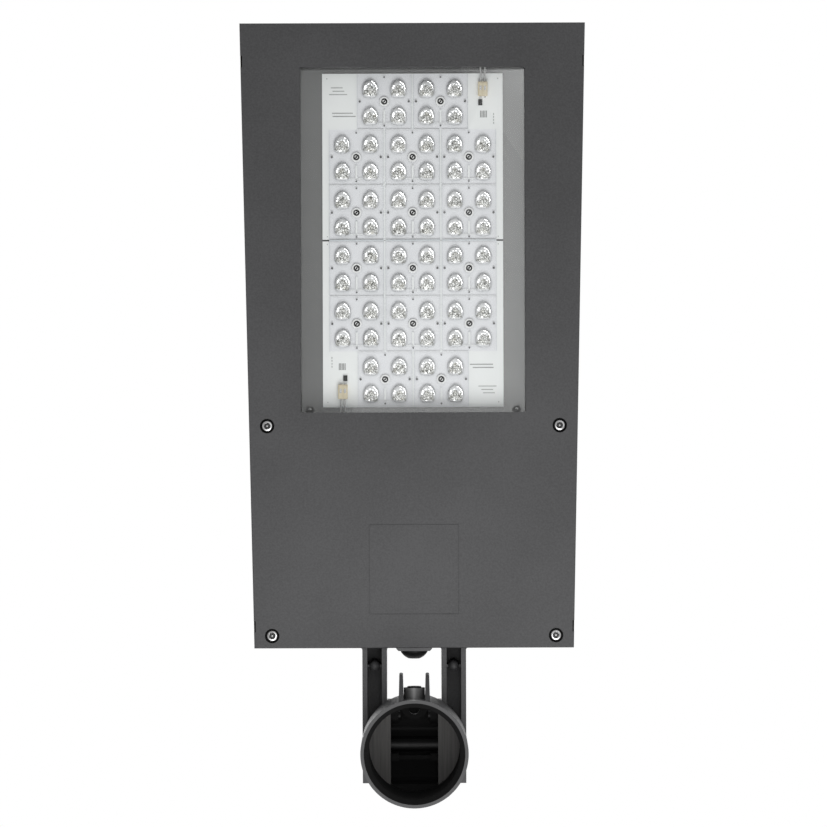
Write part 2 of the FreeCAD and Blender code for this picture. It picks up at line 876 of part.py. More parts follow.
def make_heat_plate():
    half = window_half + heat_plate_side_margin
    plate = box(-half, half, window_rear - heat_plate_rear_margin, window_tip + heat_plate_tip_margin,
                plate_face, ceiling)
    hole_radius = heat_plate_screw_radius + through_clearance
    holes = []
    for x, y in heat_plate_screw_places():
        holes.append(stud(hole_radius, x, y, plate_face, heat_plate_thickness))
    for x, y in module_places():
        holes.append(stud(lens_screw_radius + thread_clearance, x, y, plate_face, lens_screw_depth))
    return plate.cut(holes)


def make_heat_plate_screws():
    length = heat_plate_thickness + heat_plate_screw_depth
    return [screw(heat_plate_screw_radius, heat_plate_head_radius, heat_plate_head_height,
                  x, y, plate_face, length)
            for x, y in heat_plate_screw_places()]


def make_led_board():
    """The board nearest the tip."""
    half = board_width / 2
    length = rows_per_board * module_pitch_y - board_end_margin
    start = engine_middle + board_gap / 2
    board = box(-half, half, start, start + length, board_face, plate_face)
    holes = []
    for x, y in module_places():
        if y > engine_middle:
            holes.append(stud(lens_screw_radius + through_clearance, x, y, board_face, board_thickness))
    return board.cut(holes)


def make_led_chips():
    half = chip_size / 2
    return [box(x - half, x + half, y - half, y + half, board_face - chip_height, board_face)
            for x, y in lens_places()]


def dome_outline(share, z):
    """The plan of one lens: round towards the tip, flat towards the pole."""
    radius = lens_width / 2 * share
    flat = -lens_length / 2 * share
    middle = (lens_length - lens_width) / 2 * share
    points = [V(-radius, flat, z), V(radius, flat, z)]
    for step in range(lens_arc_steps + 1):
        angle = math.pi * step / lens_arc_steps
        points.append(V(radius * math.cos(angle), middle + radius * math.sin(angle), z))
    return points


def make_lens_module():
    """Four lenses on one clear plate, about the origin in plan."""
    half_x = (module_pitch_x - module_gap) / 2
    half_y = (module_pitch_y - module_gap) / 2
    plate = box(-half_x, half_x, -half_y, half_y, lens_base_face, board_face)
    dome = frustum(dome_outline(1.0, lens_base_face), dome_outline(lens_top_share, lens_tip))
    half = lens_spacing / 2
    domes = [dome.translated(V(sx * half, sy * half, 0)) for sx in (-1, 1) for sy in (-1, 1)]
    reach = chip_size / 2 + chip_pocket_clearance
    pockets = []
    for sx in (-1, 1):
        x = sx * half
        pockets.append(box(x - reach, x + reach, -half - reach, half + reach,
                           board_face - chip_height - chip_pocket_clearance, board_face))
    hole = stud(lens_screw_radius + through_clearance, 0, 0, lens_base_face, lens_base_thickness)
    return plate.fuse(domes).cut(pockets + [hole]).removeSplitter()


def make_lens_screws():
    length = lens_base_thickness + board_thickness + lens_screw_depth - thread_clearance
    return [screw(lens_screw_radius, lens_head_radius, lens_head_height, x, y, lens_base_face, length)
            for x, y in module_places()]


def board_end():
    return engine_middle + board_gap / 2 + rows_per_board * module_pitch_y - board_end_margin


def make_board_terminal():
    """The two-way terminal of the board nearest the tip."""
    y1 = board_end() - terminal_from_end
    y0 = y1 - terminal_length
    x = -terminal_from_axis
    half = terminal_width / 2
    body = box(x - half, x + half, y0, y1, board_face - terminal_height, board_face)
    half_way = board_face - terminal_height / 2
    lower = edges_where(body, lambda e: runs_along(e, ALONG_Y) and e.BoundBox.ZMax < half_way)
    return body.makeChamfer(terminal_chamfer, lower)


def make_board_diode():
    y1 = board_end() - terminal_from_end - terminal_length - diode_beyond_terminal
    x = -diode_from_axis
    half = diode_width / 2
    return box(x - half, x + half, y1 - diode_length, y1, board_face - diode_height, board_face)


def lead_places():
    return [-terminal_from_axis - lead_spacing / 2, -terminal_from_axis + lead_spacing / 2]


def make_front_leads():
    start = board_end() - terminal_from_end
    length = sleeve_start() - start
    return [stud(lead_radius, x, start, board_face - lead_height, length, ALONG_Y)
            for x in lead_places()]


def make_rear_leads():
    """From the rear board's terminal straight back to the driver."""
    start = 2 * engine_middle - board_end() + terminal_from_end
    end = driver_front()
    return [stud(lead_radius, -x, end, board_face - lead_height, start - end, ALONG_Y)
            for x in lead_places()]


def sleeve_start():
    """Where the sleeve takes up the front board's leads."""
    return window_tip + sleeve_beyond_window - sleeve_bend


def make_lead_sleeve():
    """The sleeve that carries the front board's leads round to the driver."""
    z = board_face - lead_height
    start = sleeve_start()
    x_start = -terminal_from_axis
    x_run = -window_half - sleeve_run_from_window
    y_tip = start + sleeve_bend
    y_back = driver_front() - driver_width / 2
    points = [
        V(x_start, start, z),
        V(x_start, y_tip, z),
        V(x_run, y_tip, z),
        V(x_run, y_back, z),
        V(-driver_length / 2, y_back, z),
    ]
    blank = hexagon(2 * sleeve_radius, x_start, start, z, sleeve_bend, ALONG_Y)
    profile = edges_where(blank, lambda e: e.BoundBox.YMax < start + sleeve_bend / 2)
    mitred = 1
    path = Part.makePolygon(points)
    return path.makePipeShell([Part.Wire(Part.__sortEdges__(profile))], True, False, mitred)


def tray_rear():
    return rear + tray_from_rear


def driver_front():
    return tray_rear() + tray_length - driver_from_tray_front


def tray_screw_places():
    y0 = tray_rear() + tray_screw_inset
    y1 = tray_rear() + tray_length - tray_screw_inset
    x = tray_half_width - tray_screw_inset
    return [(-x, y0), (x, y0), (-x, y1), (x, y1)]


def make_gear_tray():
    tray = box(-tray_half_width, tray_half_width, tray_rear(), tray_rear() + tray_length,
               tray_face, tray_face + tray_thickness)
    lips = []
    for y0 in (tray_rear(), tray_rear() + tray_length - tray_thickness):
        lips.append(box(-tray_half_width + 2 * tray_screw_inset, tray_half_width - 2 * tray_screw_inset,
                        y0, y0 + tray_thickness, tray_face, tray_face + 3 * tray_thickness))
    holes = [stud(tray_screw_radius + through_clearance, x, y, tray_face, tray_thickness)
             for x, y in tray_screw_places()]
    holes += [stud(driver_screw_radius + thread_clearance, x, y, tray_face, tray_thickness)
              for x, y in driver_screw_places() + saddle_screw_places()]
    return tray.fuse(lips).cut(holes).removeSplitter()


def make_gear_tray_screws():
    length = tray_thickness + tray_screw_depth
    return [screw(tray_screw_radius, tray_head_radius, tray_head_height, x, y, tray_face, length)
            for x, y in tray_screw_places()]


def driver_screw_places():
    y = driver_front() - driver_width / 2
    x = (driver_length + driver_ear) / 2
    step = driver_width / 4
    return [(side * x, y + along * step) for side in (-1, 1) for along in (-1, 1)]


def make_led_driver():
    """A potted driver with a fixing ear at each end."""
    y1 = driver_front()
    half = driver_length / 2
    body = box(-half, half, y1 - driver_width, y1, tray_face - driver_height, tray_face)
    body = body.makeChamfer(driver_rounding, edges_where(body, lambda e: runs_along(e, ALONG_Z)))
    ear_low = tray_face - driver_ear_thickness
    ears = box(-half - driver_ear, half + driver_ear, y1 - driver_width + driver_rounding,
               y1 - driver_rounding, ear_low, tray_face)
    holes = [stud(driver_screw_radius + through_clearance, x, y, ear_low, driver_ear_thickness)
             for x, y in driver_screw_places()]
    return body.fuse(ears).cut(holes).removeSplitter()


def make_driver_screws():
    seat = tray_face - driver_ear_thickness
    length = driver_ear_thickness + tray_thickness
    return [screw(driver_screw_radius, driver_head_radius, driver_head_height, x, y, seat, length)
            for x, y in driver_screw_places()]


def gear_row():
    """The front of the row of small gear behind the driver."""
    return driver_front() - driver_width - gear_gap


def make_surge_protector():
    half = driver_length / 2
    y1 = gear_row()
    body = box(-half, -half + surge_length, y1 - surge_width, y1, tray_face - surge_height, tray_face)
    return body.makeChamfer(driver_rounding, edges_where(body, lambda e: runs_along(e, ALONG_Z)))


def make_mains_terminal():
    """A terminal block with one wire funnel for each way."""
    half = mains_block_length / 2
    x = driver_length / 2 - half
    y1 = gear_row()
    low = tray_face - mains_block_height
    body = box(x - half, x + half, y1 - mains_block_width, y1, low, tray_face)
    pitch = mains_block_length / mains_block_ways
    depth = mains_block_width / 3
    wells = []
    for way in range(mains_block_ways):
        centre = x + pitch * (way - (mains_block_ways - 1) / 2)
        reach = pitch / 3
        front = y1 - mains_block_width
        wells.append(box(centre - reach, centre + reach, front, front + depth, low, low + depth))
    return body.cut(wells)


def saddle_screw_places():
    x = saddle_half + saddle_thickness + saddle_foot / 2
    y = rear + saddle_from_rear + saddle_width / 2
    return [(-x, y), (x, y)]


def make_cord_saddle():
    """The folded strap that holds the supply cable to the tray."""
    y0 = rear + saddle_from_rear
    outer = saddle_half + saddle_thickness
    end = outer + saddle_foot
    foot = tray_face - saddle_thickness
    inside = tray_face - 2 * saddle_half
    outside = inside - saddle_thickness
    outline = [
        (-end, tray_face),
        (-end, foot),
        (-outer, foot),
        (-outer, inside),
        (-saddle_half, outside),
        (saddle_half, outside),
        (outer, inside),
        (outer, foot),
        (end, foot),
        (end, tray_face),
        (saddle_half, tray_face),
        (saddle_half, inside),
        (-saddle_half, inside),
        (-saddle_half, tray_face),
    ]
    strap = closed_face([V(x, y0, z) for x, z in outline]).extrude(V(0, saddle_width, 0))
    holes = [stud(driver_screw_radius + through_clearance, x, y, foot, saddle_thickness)
             for x, y in saddle_screw_places()]
    return strap.cut(holes)


def make_saddle_screws():
    seat = tray_face - saddle_thickness
    length = saddle_thickness + tray_thickness
    return [screw(driver_screw_radius, driver_head_radius, driver_head_height, x, y, seat, length)
            for x, y in saddle_screw_places()]


def turned_profile(points):
    """A solid of revolution about the gland's axis, from (radius, y) points."""
    corners = [V(radius, y, gland_height) for radius, y in points]
    face = Part.Face(Part.makePolygon(corners + corners[:1]))
    return face.revolve(V(0, 0, gland_height), ALONG_Y, 360)


def make_gland_body():
    """The threaded body, with its flange on the housing's pad."""
    y0 = gland_pad_face - gland_flange_thickness
    y1 = gland_seat + gland_stub_inside
    return turned_profile([
        (gland_bore_radius, y0),
        (gland_flange_radius, y0),
        (gland_flange_radius, gland_pad_face),
        (gland_thread_radius, gland_pad_face),
        (gland_thread_radius, y1),
        (gland_bore_radius, y1),
    ])


def make_gland_nut():
    """The domed nut outside, hollow for its seal."""
    y0 = gland_pad_face - gland_flange_thickness
    outer = gland_flange_radius
    height = gland_dome_height
    dome_radius = (outer * outer + height * height) / (2 * height)
    sphere = Part.makeSphere(dome_radius, V(0, y0 - height + dome_radius, gland_height))
    blank = rod(outer, 0, y0 - height, gland_height, height, ALONG_Y)
    nut = blank.common(sphere)
    seat = rod(gland_seal_radius + thread_clearance, 0, y0 - gland_seal_thickness, gland_height,
               gland_seal_thickness, ALONG_Y)
    hole = rod(gland_bore_radius, 0, y0 - height, gland_height, height, ALONG_Y)
    return nut.cut([seat, hole])


def make_gland_seal():
    y0 = gland_pad_face - gland_flange_thickness - gland_seal_thickness
    ring = rod(gland_seal_radius, 0, y0, gland_height, gland_seal_thickness, ALONG_Y)
    return ring.cut(rod(gland_bore_radius, 0, y0, gland_height, gland_seal_thickness, ALONG_Y))


def make_gland_locknut():
    y0 = gland_seat
    nut = hexagon(gland_locknut_across, 0, y0, gland_height, gland_locknut_thickness, ALONG_Y)
    hole_radius = gland_thread_radius + thread_clearance
    return nut.cut(stud(hole_radius, 0, y0, gland_height, gland_locknut_thickness, ALONG_Y))


def make_pivot_bolt():
    seat = arm_inside + arm_wall
    length = 2 * seat + bolt_nut_height + bolt_end
    shank = rod(bolt_radius, -seat, 0, pivot_height, length, ALONG_X)
    head = hexagon(bolt_head_across, -seat, 0, pivot_height, bolt_head_height, ALONG_X * -1)
    return head.fuse(shank).removeSplitter()


def make_nut(x, y):
    nut = hexagon(bolt_head_across, x, y, pivot_height, bolt_nut_height, ALONG_X)
    return nut.cut(stud(bolt_radius + thread_clearance, x, y, pivot_height, bolt_nut_height, ALONG_X))


def make_pivot_sleeve():
    sleeve = rod(pivot_sleeve_radius, -slot_half, 0, pivot_height, cable_slot_width, ALONG_X)
    hole_radius = bolt_radius + slot_clearance
    return sleeve.cut(rod(hole_radius, -slot_half, 0, pivot_height, cable_slot_width, ALONG_X))


def make_lock_bolts():
    seat = arm_inside + arm_wall
    y = lock_bolt_radius_from_pivot
    length = seat - slot_half + side_clearance + bolt_nut_height + bolt_end
    shank = rod(bolt_radius, seat, y, pivot_height, length, ALONG_X * -1)
    head = hexagon(bolt_head_across, seat, y, pivot_height, bolt_head_height, ALONG_X)
    return both_sides(head.fuse(shank).removeSplitter())


def make_lock_nuts():
    x = slot_half - side_clearance - bolt_nut_height
    return both_sides(make_nut(x, lock_bolt_radius_from_pivot))


def main():
    os.makedirs("parts", exist_ok=True)
    save("pole_socket", make_pole_socket())
    save("clamp_screw", make_clamp_screw())
    save("cable_grommet", make_cable_grommet())
    save("cord_clamp_bar", make_cord_clamp_bar())
    save("cord_clamp_screws", *make_cord_clamp_screws())
    save("pivot_sleeve", make_pivot_sleeve())
    save("pivot_bolt", make_pivot_bolt())
    save("pivot_nut", make_nut(arm_inside + arm_wall, 0.0))
    save("lock_bolts", *make_lock_bolts())
    save("lock_nuts", *make_lock_nuts())

    save("upper_housing", make_upper_housing())
    save("cover_frame", make_cover_frame())
    save("cover_screws", *make_cover_screws())
    save("housing_gasket", make_housing_gasket())
    save("glass_gasket", make_glass_gasket())
    save("window_glass", make_window_glass())
    save("glass_clips", *make_glass_clips())
    save("glass_clip_screws", *make_glass_clip_screws())

    save("heat_plate", make_heat_plate())
    save("heat_plate_screws", *make_heat_plate_screws())
    board = make_led_board()
    save("led_board_front", board)
    save("led_board_rear", turned_about_engine(board))
    save("led_chips", *make_led_chips())
    module = make_lens_module()
    for number, (x, y) in enumerate(module_places(), start=1):
        save("lens_module_%02d" % number, module.translated(V(x, y, 0)))
    save("lens_screws", *make_lens_screws())
    terminal = make_board_terminal()
    save("board_terminals", terminal, turned_about_engine(terminal))
    diode = make_board_diode()
    save("board_diodes", diode, turned_about_engine(diode))
    save("board_leads", *make_front_leads(), *make_rear_leads())
    save("lead_sleeve", make_lead_sleeve())

    save("gear_tray", make_gear_tray())
    save("gear_tray_screws", *make_gear_tray_screws())
    save("led_driver", make_led_driver())
    save("driver_screws", *make_driver_screws())
    save("surge_protector", make_surge_protector())
    save("mains_terminal", make_mains_terminal())
    save("cord_saddle", make_cord_saddle())
    save("saddle_screws", *make_saddle_screws())
    save("gland_body", make_gland_body())
    save("gland_nut", make_gland_nut())
    save("gland_seal", make_gland_seal())
    save("gland_locknut", make_gland_locknut())


main()
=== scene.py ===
"""Looks for the street light head: materials, small detail, light and camera."""

import json
import math
from random import Random

import bmesh
import bpy
from mathutils import Matrix, Vector


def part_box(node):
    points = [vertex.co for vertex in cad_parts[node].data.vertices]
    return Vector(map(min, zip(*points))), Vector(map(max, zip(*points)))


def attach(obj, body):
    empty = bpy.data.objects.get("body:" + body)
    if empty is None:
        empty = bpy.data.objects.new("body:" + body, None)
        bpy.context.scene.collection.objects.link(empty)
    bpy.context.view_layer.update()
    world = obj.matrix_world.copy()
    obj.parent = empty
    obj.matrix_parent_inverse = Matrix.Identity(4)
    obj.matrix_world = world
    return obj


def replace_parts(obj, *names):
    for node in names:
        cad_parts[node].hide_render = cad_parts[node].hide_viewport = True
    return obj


MM = 0.001

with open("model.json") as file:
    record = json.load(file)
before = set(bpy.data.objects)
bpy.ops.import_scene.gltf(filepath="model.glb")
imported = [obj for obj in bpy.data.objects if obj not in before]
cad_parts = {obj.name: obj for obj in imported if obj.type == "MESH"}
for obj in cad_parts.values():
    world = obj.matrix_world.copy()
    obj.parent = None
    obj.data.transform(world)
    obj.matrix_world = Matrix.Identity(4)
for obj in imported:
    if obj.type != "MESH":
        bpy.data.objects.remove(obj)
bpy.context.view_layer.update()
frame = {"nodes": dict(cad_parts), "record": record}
nodes = frame["nodes"]

# Where the socket's bore, hood and clamp boss and the housing's gland pad are, for the painted shade and
# painted light in their coats
BORE_MOUTH = 43.9 * MM
BORE_FLOOR = 74.0 * MM
HOOD_INSIDE = 21.3 * MM
HOOD_REACH = 46.0 * MM
HOOD_BACK = 33.2 * MM
BOSS_HALF = 9.3 * MM
BOSS_ROOT = 46.5 * MM
PAD_HALF = 17.0 * MM
PAD_ROOT = 86.4 * MM
FLOOR_MARGIN = 0.3 * MM

COAT_GRAIN = 1500.0
COAT_CLOUDS = 9.0
COAT_SPECKLE = 620.0
COAT_RELIEF = 0.00005
COAT_ROUGHNESS = (0.46, 0.62)


# Shader helpers

def new_material(name):
    """A new material and its node tree."""
    material = bpy.data.materials.new(name)
    material.use_nodes = True
    return material, material.node_tree


def principled(tree):
    """The shader that each new material comes with."""
    return next(node for node in tree.nodes if node.type == "BSDF_PRINCIPLED")


def coordinates(tree, scale):
    """Object coordinates in metres, scaled on each axis."""
    source = tree.nodes.new("ShaderNodeTexCoord")
    mapping = tree.nodes.new("ShaderNodeMapping")
    mapping.inputs["Scale"].default_value = scale
    tree.links.new(source.outputs["Object"], mapping.inputs["Vector"])
    return mapping.outputs["Vector"]


def noise(tree, vector, scale, detail=3.0, roughness=0.55):
    """Cloudy noise from 0 to 1."""
    texture = tree.nodes.new("ShaderNodeTexNoise")
    texture.inputs["Scale"].default_value = scale
    texture.inputs["Detail"].default_value = detail
    texture.inputs["Roughness"].default_value = roughness
    tree.links.new(vector, texture.inputs["Vector"])
    return texture.outputs["Fac"]


def ramp(tree, value, stops):
    """A colour that follows a value through its stops."""
    node = tree.nodes.new("ShaderNodeValToRGB")
    elements = node.color_ramp.elements
    while len(elements) < len(stops):
        elements.new(0.5)
    for element, (place, colour) in zip(elements, stops):
        element.position = place
        element.color = (*colour, 1.0)
    tree.links.new(value, node.inputs["Fac"])
    return node.outputs["Color"]


def bump(tree, height, distance, strength=1.0):
    """A fine relief on the surface."""
    node = tree.nodes.new("ShaderNodeBump")
    node.inputs["Strength"].default_value = strength
    node.inputs["Distance"].default_value = distance
    tree.links.new(height, node.inputs["Height"])
    return node.outputs["Normal"]


def span(tree, value, low, high, to_low, to_high):
    """A value brought from one range to another."""
    node = tree.nodes.new("ShaderNodeMapRange")
    node.inputs["From Min"].default_value = low
    node.inputs["From Max"].default_value = high
    node.inputs["To Min"].default_value = to_low
    node.inputs["To Max"].default_value = to_high
    tree.links.new(value, node.inputs["Value"])
    return node.outputs["Result"]


def mottled(name, dark, light, roughness, metallic=0.0, grain=900.0, depth=0.00003, stretch=(1, 1, 1)):
    """A surface whose colour, gloss and relief vary with one fine grain."""
    material, tree = new_material(name)
    shader = principled(tree)
    vector = coordinates(tree, stretch)
    fine = noise(tree, vector, grain)
    broad = noise(tree, vector, grain / 60)
    tree.links.new(ramp(tree, broad, [(0.35, dark), (0.65, light)]), shader.inputs["Base Color"])
    tree.links.new(span(tree, fine, 0.3, 0.7, roughness[0], roughness[1]), shader.inputs["Roughness"])
    tree.links.new(bump(tree, fine, depth), shader.inputs["Normal"])
    shader.inputs["Metallic"].default_value = metallic
    return material


def grey(value, tint=0.0):
    """A grey with a little more blue by the tint."""
    return (value, value, value * (1 + tint))


def maths(tree, operation, first, second):
    """One maths node; either input may be a number or a link."""
    node = tree.nodes.new("ShaderNodeMath")
    node.operation = operation
    for index, value in enumerate((first, second)):
        if isinstance(value, (int, float)):
            node.inputs[index].default_value = value
        else:
            tree.links.new(value, node.inputs[index])
    return node.outputs[0]


def blend(tree, share, first, second, kind="RGBA"):
    """A colour, or a number when kind is FLOAT, between two that are each a value or a link."""
    node = tree.nodes.new("ShaderNodeMix")
    node.data_type = kind
    tree.links.new(share, node.inputs[0])
    start = 6 if kind == "RGBA" else 2
    for index, value in ((start, first), (start + 1, second)):
        if isinstance(value, tuple):
            node.inputs[index].default_value = (*value, 1.0)
        elif isinstance(value, float):
            node.inputs[index].default_value = value
        else:
            tree.links.new(value, node.inputs[index])
    return node.outputs[2 if kind == "RGBA" else 0]


def product(tree, first, second):
    return maths(tree, "MULTIPLY", first, second)


def total(tree, first, second):
    return maths(tree, "ADD", first, second)


def below(tree, value, limit):
    return maths(tree, "LESS_THAN", value, limit)


def above(tree, value, limit):
    return maths(tree, "GREATER_THAN", value, limit)


def axes(tree, vector):
    """The x, y and z of a vector."""
    split = tree.nodes.new("ShaderNodeSeparateXYZ")
    tree.links.new(vector, split.inputs[0])
    return split.outputs


def powder_coat(name, painted_pad_light=False):
    """Dark grey powder coat; on the housing the gland's pad is painted lighter, a painted highlight for the
    light it catches.
    """
    material, tree = new_material(name)
    shader = principled(tree)
    place = coordinates(tree, (1, 1, 1))
    grain = noise(tree, place, COAT_GRAIN, 4.0, 0.6)
    broad = noise(tree, place, COAT_CLOUDS, 2.0)
    speckle = noise(tree, place, COAT_SPECKLE, 2.0)
    mixed = total(tree, product(tree, broad, 0.45), product(tree, speckle, 0.55))
    colour = ramp(tree, mixed, [(0.36, grey(0.0455, 0.04)), (0.64, grey(0.069, 0.04))])
    if painted_pad_light:
        # Painted light: the gland's pad is made lighter than the coat around it.
        x, y, _ = axes(tree, place)
        across = maths(tree, "ABSOLUTE", x, 0.0)
        lit_pad_mask = product(tree, below(tree, across, PAD_HALF), below(tree, y, PAD_ROOT))
        colour = blend(tree, lit_pad_mask, colour, grey(0.17, 0.03))
    tree.links.new(colour, shader.inputs["Base Color"])
    tree.links.new(span(tree, grain, 0.25, 0.75, *COAT_ROUGHNESS), shader.inputs["Roughness"])
    tree.links.new(bump(tree, grain, COAT_RELIEF, 0.6), shader.inputs["Normal"])
    return material


def socket_coat_with_painted_shade():
    """The powder coat of the socket, with painted shade in its bore, under its hood and behind its slot, and
    a painted highlight down its clamp boss.
    """
    material, tree = new_material("socket_coat_with_painted_shade")
    shader = principled(tree)
    place = coordinates(tree, (1, 1, 1))
    x, y, z = axes(tree, place)
    radius = maths(tree, "SQRT", total(tree, product(tree, x, x), product(tree, y, y)), 0.0)
    across = maths(tree, "ABSOLUTE", x, 0.0)
    in_bore = below(tree, radius, BORE_MOUTH)
    in_slot = below(tree, across, HOOD_INSIDE)
    # Painted shade: the bore's wall, the inside of the hood and the strip behind the slot, where shadow
    # falls.
    shaded_wall = product(tree, in_bore, below(tree, z, BORE_FLOOR - FLOOR_MARGIN))
    past_floor = above(tree, z, BORE_FLOOR + FLOOR_MARGIN)
    shaded_hood = product(tree, product(tree, in_slot, past_floor), below(tree, radius, HOOD_REACH))
    shaded_behind = product(tree, in_slot, product(tree, in_bore, below(tree, y, -HOOD_BACK)))
    dark = maths(tree, "MAXIMUM", shaded_wall, maths(tree, "MAXIMUM", shaded_hood, shaded_behind))
    bare_floor = maths(tree, "MAXIMUM", maths(tree, "SUBTRACT", in_bore, dark), 0.0)
    highlit_boss = product(tree, below(tree, across, BOSS_HALF), above(tree, y, BOSS_ROOT))

    grain = noise(tree, place, COAT_GRAIN, 4.0, 0.6)
    broad = noise(tree, place, COAT_CLOUDS, 2.0)
    coat = ramp(tree, broad, [(0.3, grey(0.056, 0.03)), (0.7, grey(0.067, 0.03))])
    stripes = noise(tree, coordinates(tree, (1.0, 0.04, 1.0)), 420.0, 3.0)
    cast = ramp(tree, stripes, [(0.35, (0.024, 0.022, 0.020)), (0.65, (0.050, 0.046, 0.043))])
    # Painted highlight: a bright strip down the middle of the clamp boss.
    painted_highlight = ramp(tree, total(tree, product(tree, x, 50.0), 0.5),
                    [(0.05, grey(0.06)), (0.40, grey(0.13)), (0.52, grey(0.27)), (0.68, grey(0.11)),
                     (0.95, grey(0.05))])
    colour = blend(tree, highlit_boss, coat, painted_highlight)
    colour = blend(tree, bare_floor, colour, cast)
    # The painted shade goes on last, near black and metallic so that it reflects next to nothing.
    colour = blend(tree, dark, colour, grey(0.032))
    tree.links.new(colour, shader.inputs["Base Color"])
    rough = span(tree, grain, 0.25, 0.75, *COAT_ROUGHNESS)
    tree.links.new(total(tree, rough, product(tree, dark, 0.35)), shader.inputs["Roughness"])
    tree.links.new(dark, shader.inputs["Metallic"])
    tree.links.new(bump(tree, grain, COAT_RELIEF, 0.6), shader.inputs["Normal"])
    return material


def lens_net():
    """The fine net of prisms inside the lenses, pale with dark joints."""
    material, tree = new_material("lens_core")
    shader = principled(tree)
    place = coordinates(tree, (1, 1, 1))
    cells = tree.nodes.new("ShaderNodeTexVoronoi")
    cells.feature = "DISTANCE_TO_EDGE"
    cells.inputs["Scale"].default_value = 560.0
    tree.links.new(place, cells.inputs["Vector"])
    patches = noise(tree, place, 260.0, 2.0)
    net = ramp(tree, cells.outputs["Distance"],
               [(0.04, (0.16, 0.16, 0.145)), (0.15, (0.96, 0.96, 0.94))])
    tinted = ramp(tree, patches, [(0.50, (0.97, 0.97, 0.96)), (0.72, (0.80, 0.78, 0.72))])
    product = tree.nodes.new("ShaderNodeMix")
    product.data_type = "RGBA"
    product.blend_type = "MULTIPLY"
    product.inputs[0].default_value = 1.0
    tree.links.new(net, product.inputs[6])
    tree.links.new(tinted, product.inputs[7])
    tree.links.new(product.outputs[2], shader.inputs["Base Color"])
    tree.links.new(span(tree, patches, 0.3, 0.7, 0.12, 0.34), shader.inputs["Roughness"])
    shader.inputs["Metallic"].default_value = 0.08
    return material


def clear(name, ior, tint, roughness=0.0):
    """A clear solid that refracts what is seen through it and lets light past."""
    material, tree = new_material(name)
    shader = principled(tree)
    shader.inputs["Base Color"].default_value = (*tint, 1.0)
    shader.inputs["Roughness"].default_value = roughness
    shader.inputs["IOR"].default_value = ior
    shader.inputs["Transmission Weight"].default_value = 1.0
    path = tree.nodes.new("ShaderNodeLightPath")
    shadow, diffuse, glossy = (path.outputs["Is %s Ray" % kind] for kind in ("Shadow", "Diffuse", "Glossy"))
    passing = maths(tree, "MAXIMUM", maths(tree, "MAXIMUM", shadow, diffuse), glossy)
    through = tree.nodes.new("ShaderNodeBsdfTransparent")
    through.inputs["Color"].default_value = (*[0.5 + 0.5 * value for value in tint], 1.0)
    mix = tree.nodes.new("ShaderNodeMixShader")
    tree.links.new(passing, mix.inputs["Fac"])
    tree.links.new(shader.outputs[0], mix.inputs[1])
    tree.links.new(through.outputs[0], mix.inputs[2])
    tree.links.new(mix.outputs[0], tree.nodes["Material Output"].inputs["Surface"])
    return material


materials = {
    "powder_coat": powder_coat("powder_coat"),
    "bright_steel": mottled("bright_steel", grey(0.55), grey(0.66), (0.20, 0.34), 1.0, 1400.0, 0.00001),
    "bolt_steel": mottled("bolt_steel", grey(0.42), grey(0.55), (0.30, 0.45), 1.0, 1100.0, 0.00001),
    "zinc_sheet": mottled("zinc_sheet", grey(0.48, 0.02), grey(0.60, 0.02), (0.32, 0.48), 1.0, 300.0,
                          0.00001),
    "bare_aluminium": mottled("bare_aluminium", grey(0.250), grey(0.268), (0.055, 0.060), 0.5, 300.0,
                              0.0, (1.0, 0.08, 1.0)),
    "window_glass": clear("window_glass", 1.45, (0.985, 0.995, 0.99)),
    "clear_lens": clear("clear_lens", 1.49, (0.978, 0.974, 0.990), 0.02),
    "board_white": mottled("board_white", (0.92, 0.93, 0.93), (0.95, 0.96, 0.96), (0.34, 0.46), 0.0,
                           1200.0, 0.00001),
    "chip_yellow": mottled("chip_yellow", (0.66, 0.56, 0.26), (0.76, 0.66, 0.34), (0.45, 0.6), 0.0,
                           2500.0, 0.00002),
    "black_component": mottled("black_component", grey(0.015), grey(0.022), (0.35, 0.5)),
    "cream_terminal": mottled("cream_terminal", (0.66, 0.58, 0.42), (0.74, 0.66, 0.50), (0.38, 0.52)),
    "grey_lead": mottled("grey_lead", grey(0.46), grey(0.56), (0.4, 0.55)),
    "white_sleeve": mottled("white_sleeve", grey(0.38), grey(0.50), (0.75, 0.9), 0.0, 1800.0, 0.0001),
    "driver_case": mottled("driver_case", grey(0.11), grey(0.13), (0.45, 0.6)),
    "grey_case": mottled("grey_case", grey(0.22), grey(0.26), (0.45, 0.6)),
    "black_plastic": mottled("black_plastic", grey(0.006), grey(0.009), (0.50, 0.62)),
    "black_rubber": mottled("black_rubber", grey(0.012), grey(0.018), (0.60, 0.80), 0.0, 700.0, 0.00004),
    "grey_rubber": mottled("grey_rubber", grey(0.10), grey(0.13), (0.70, 0.90), 0.0, 900.0, 0.00008),
}

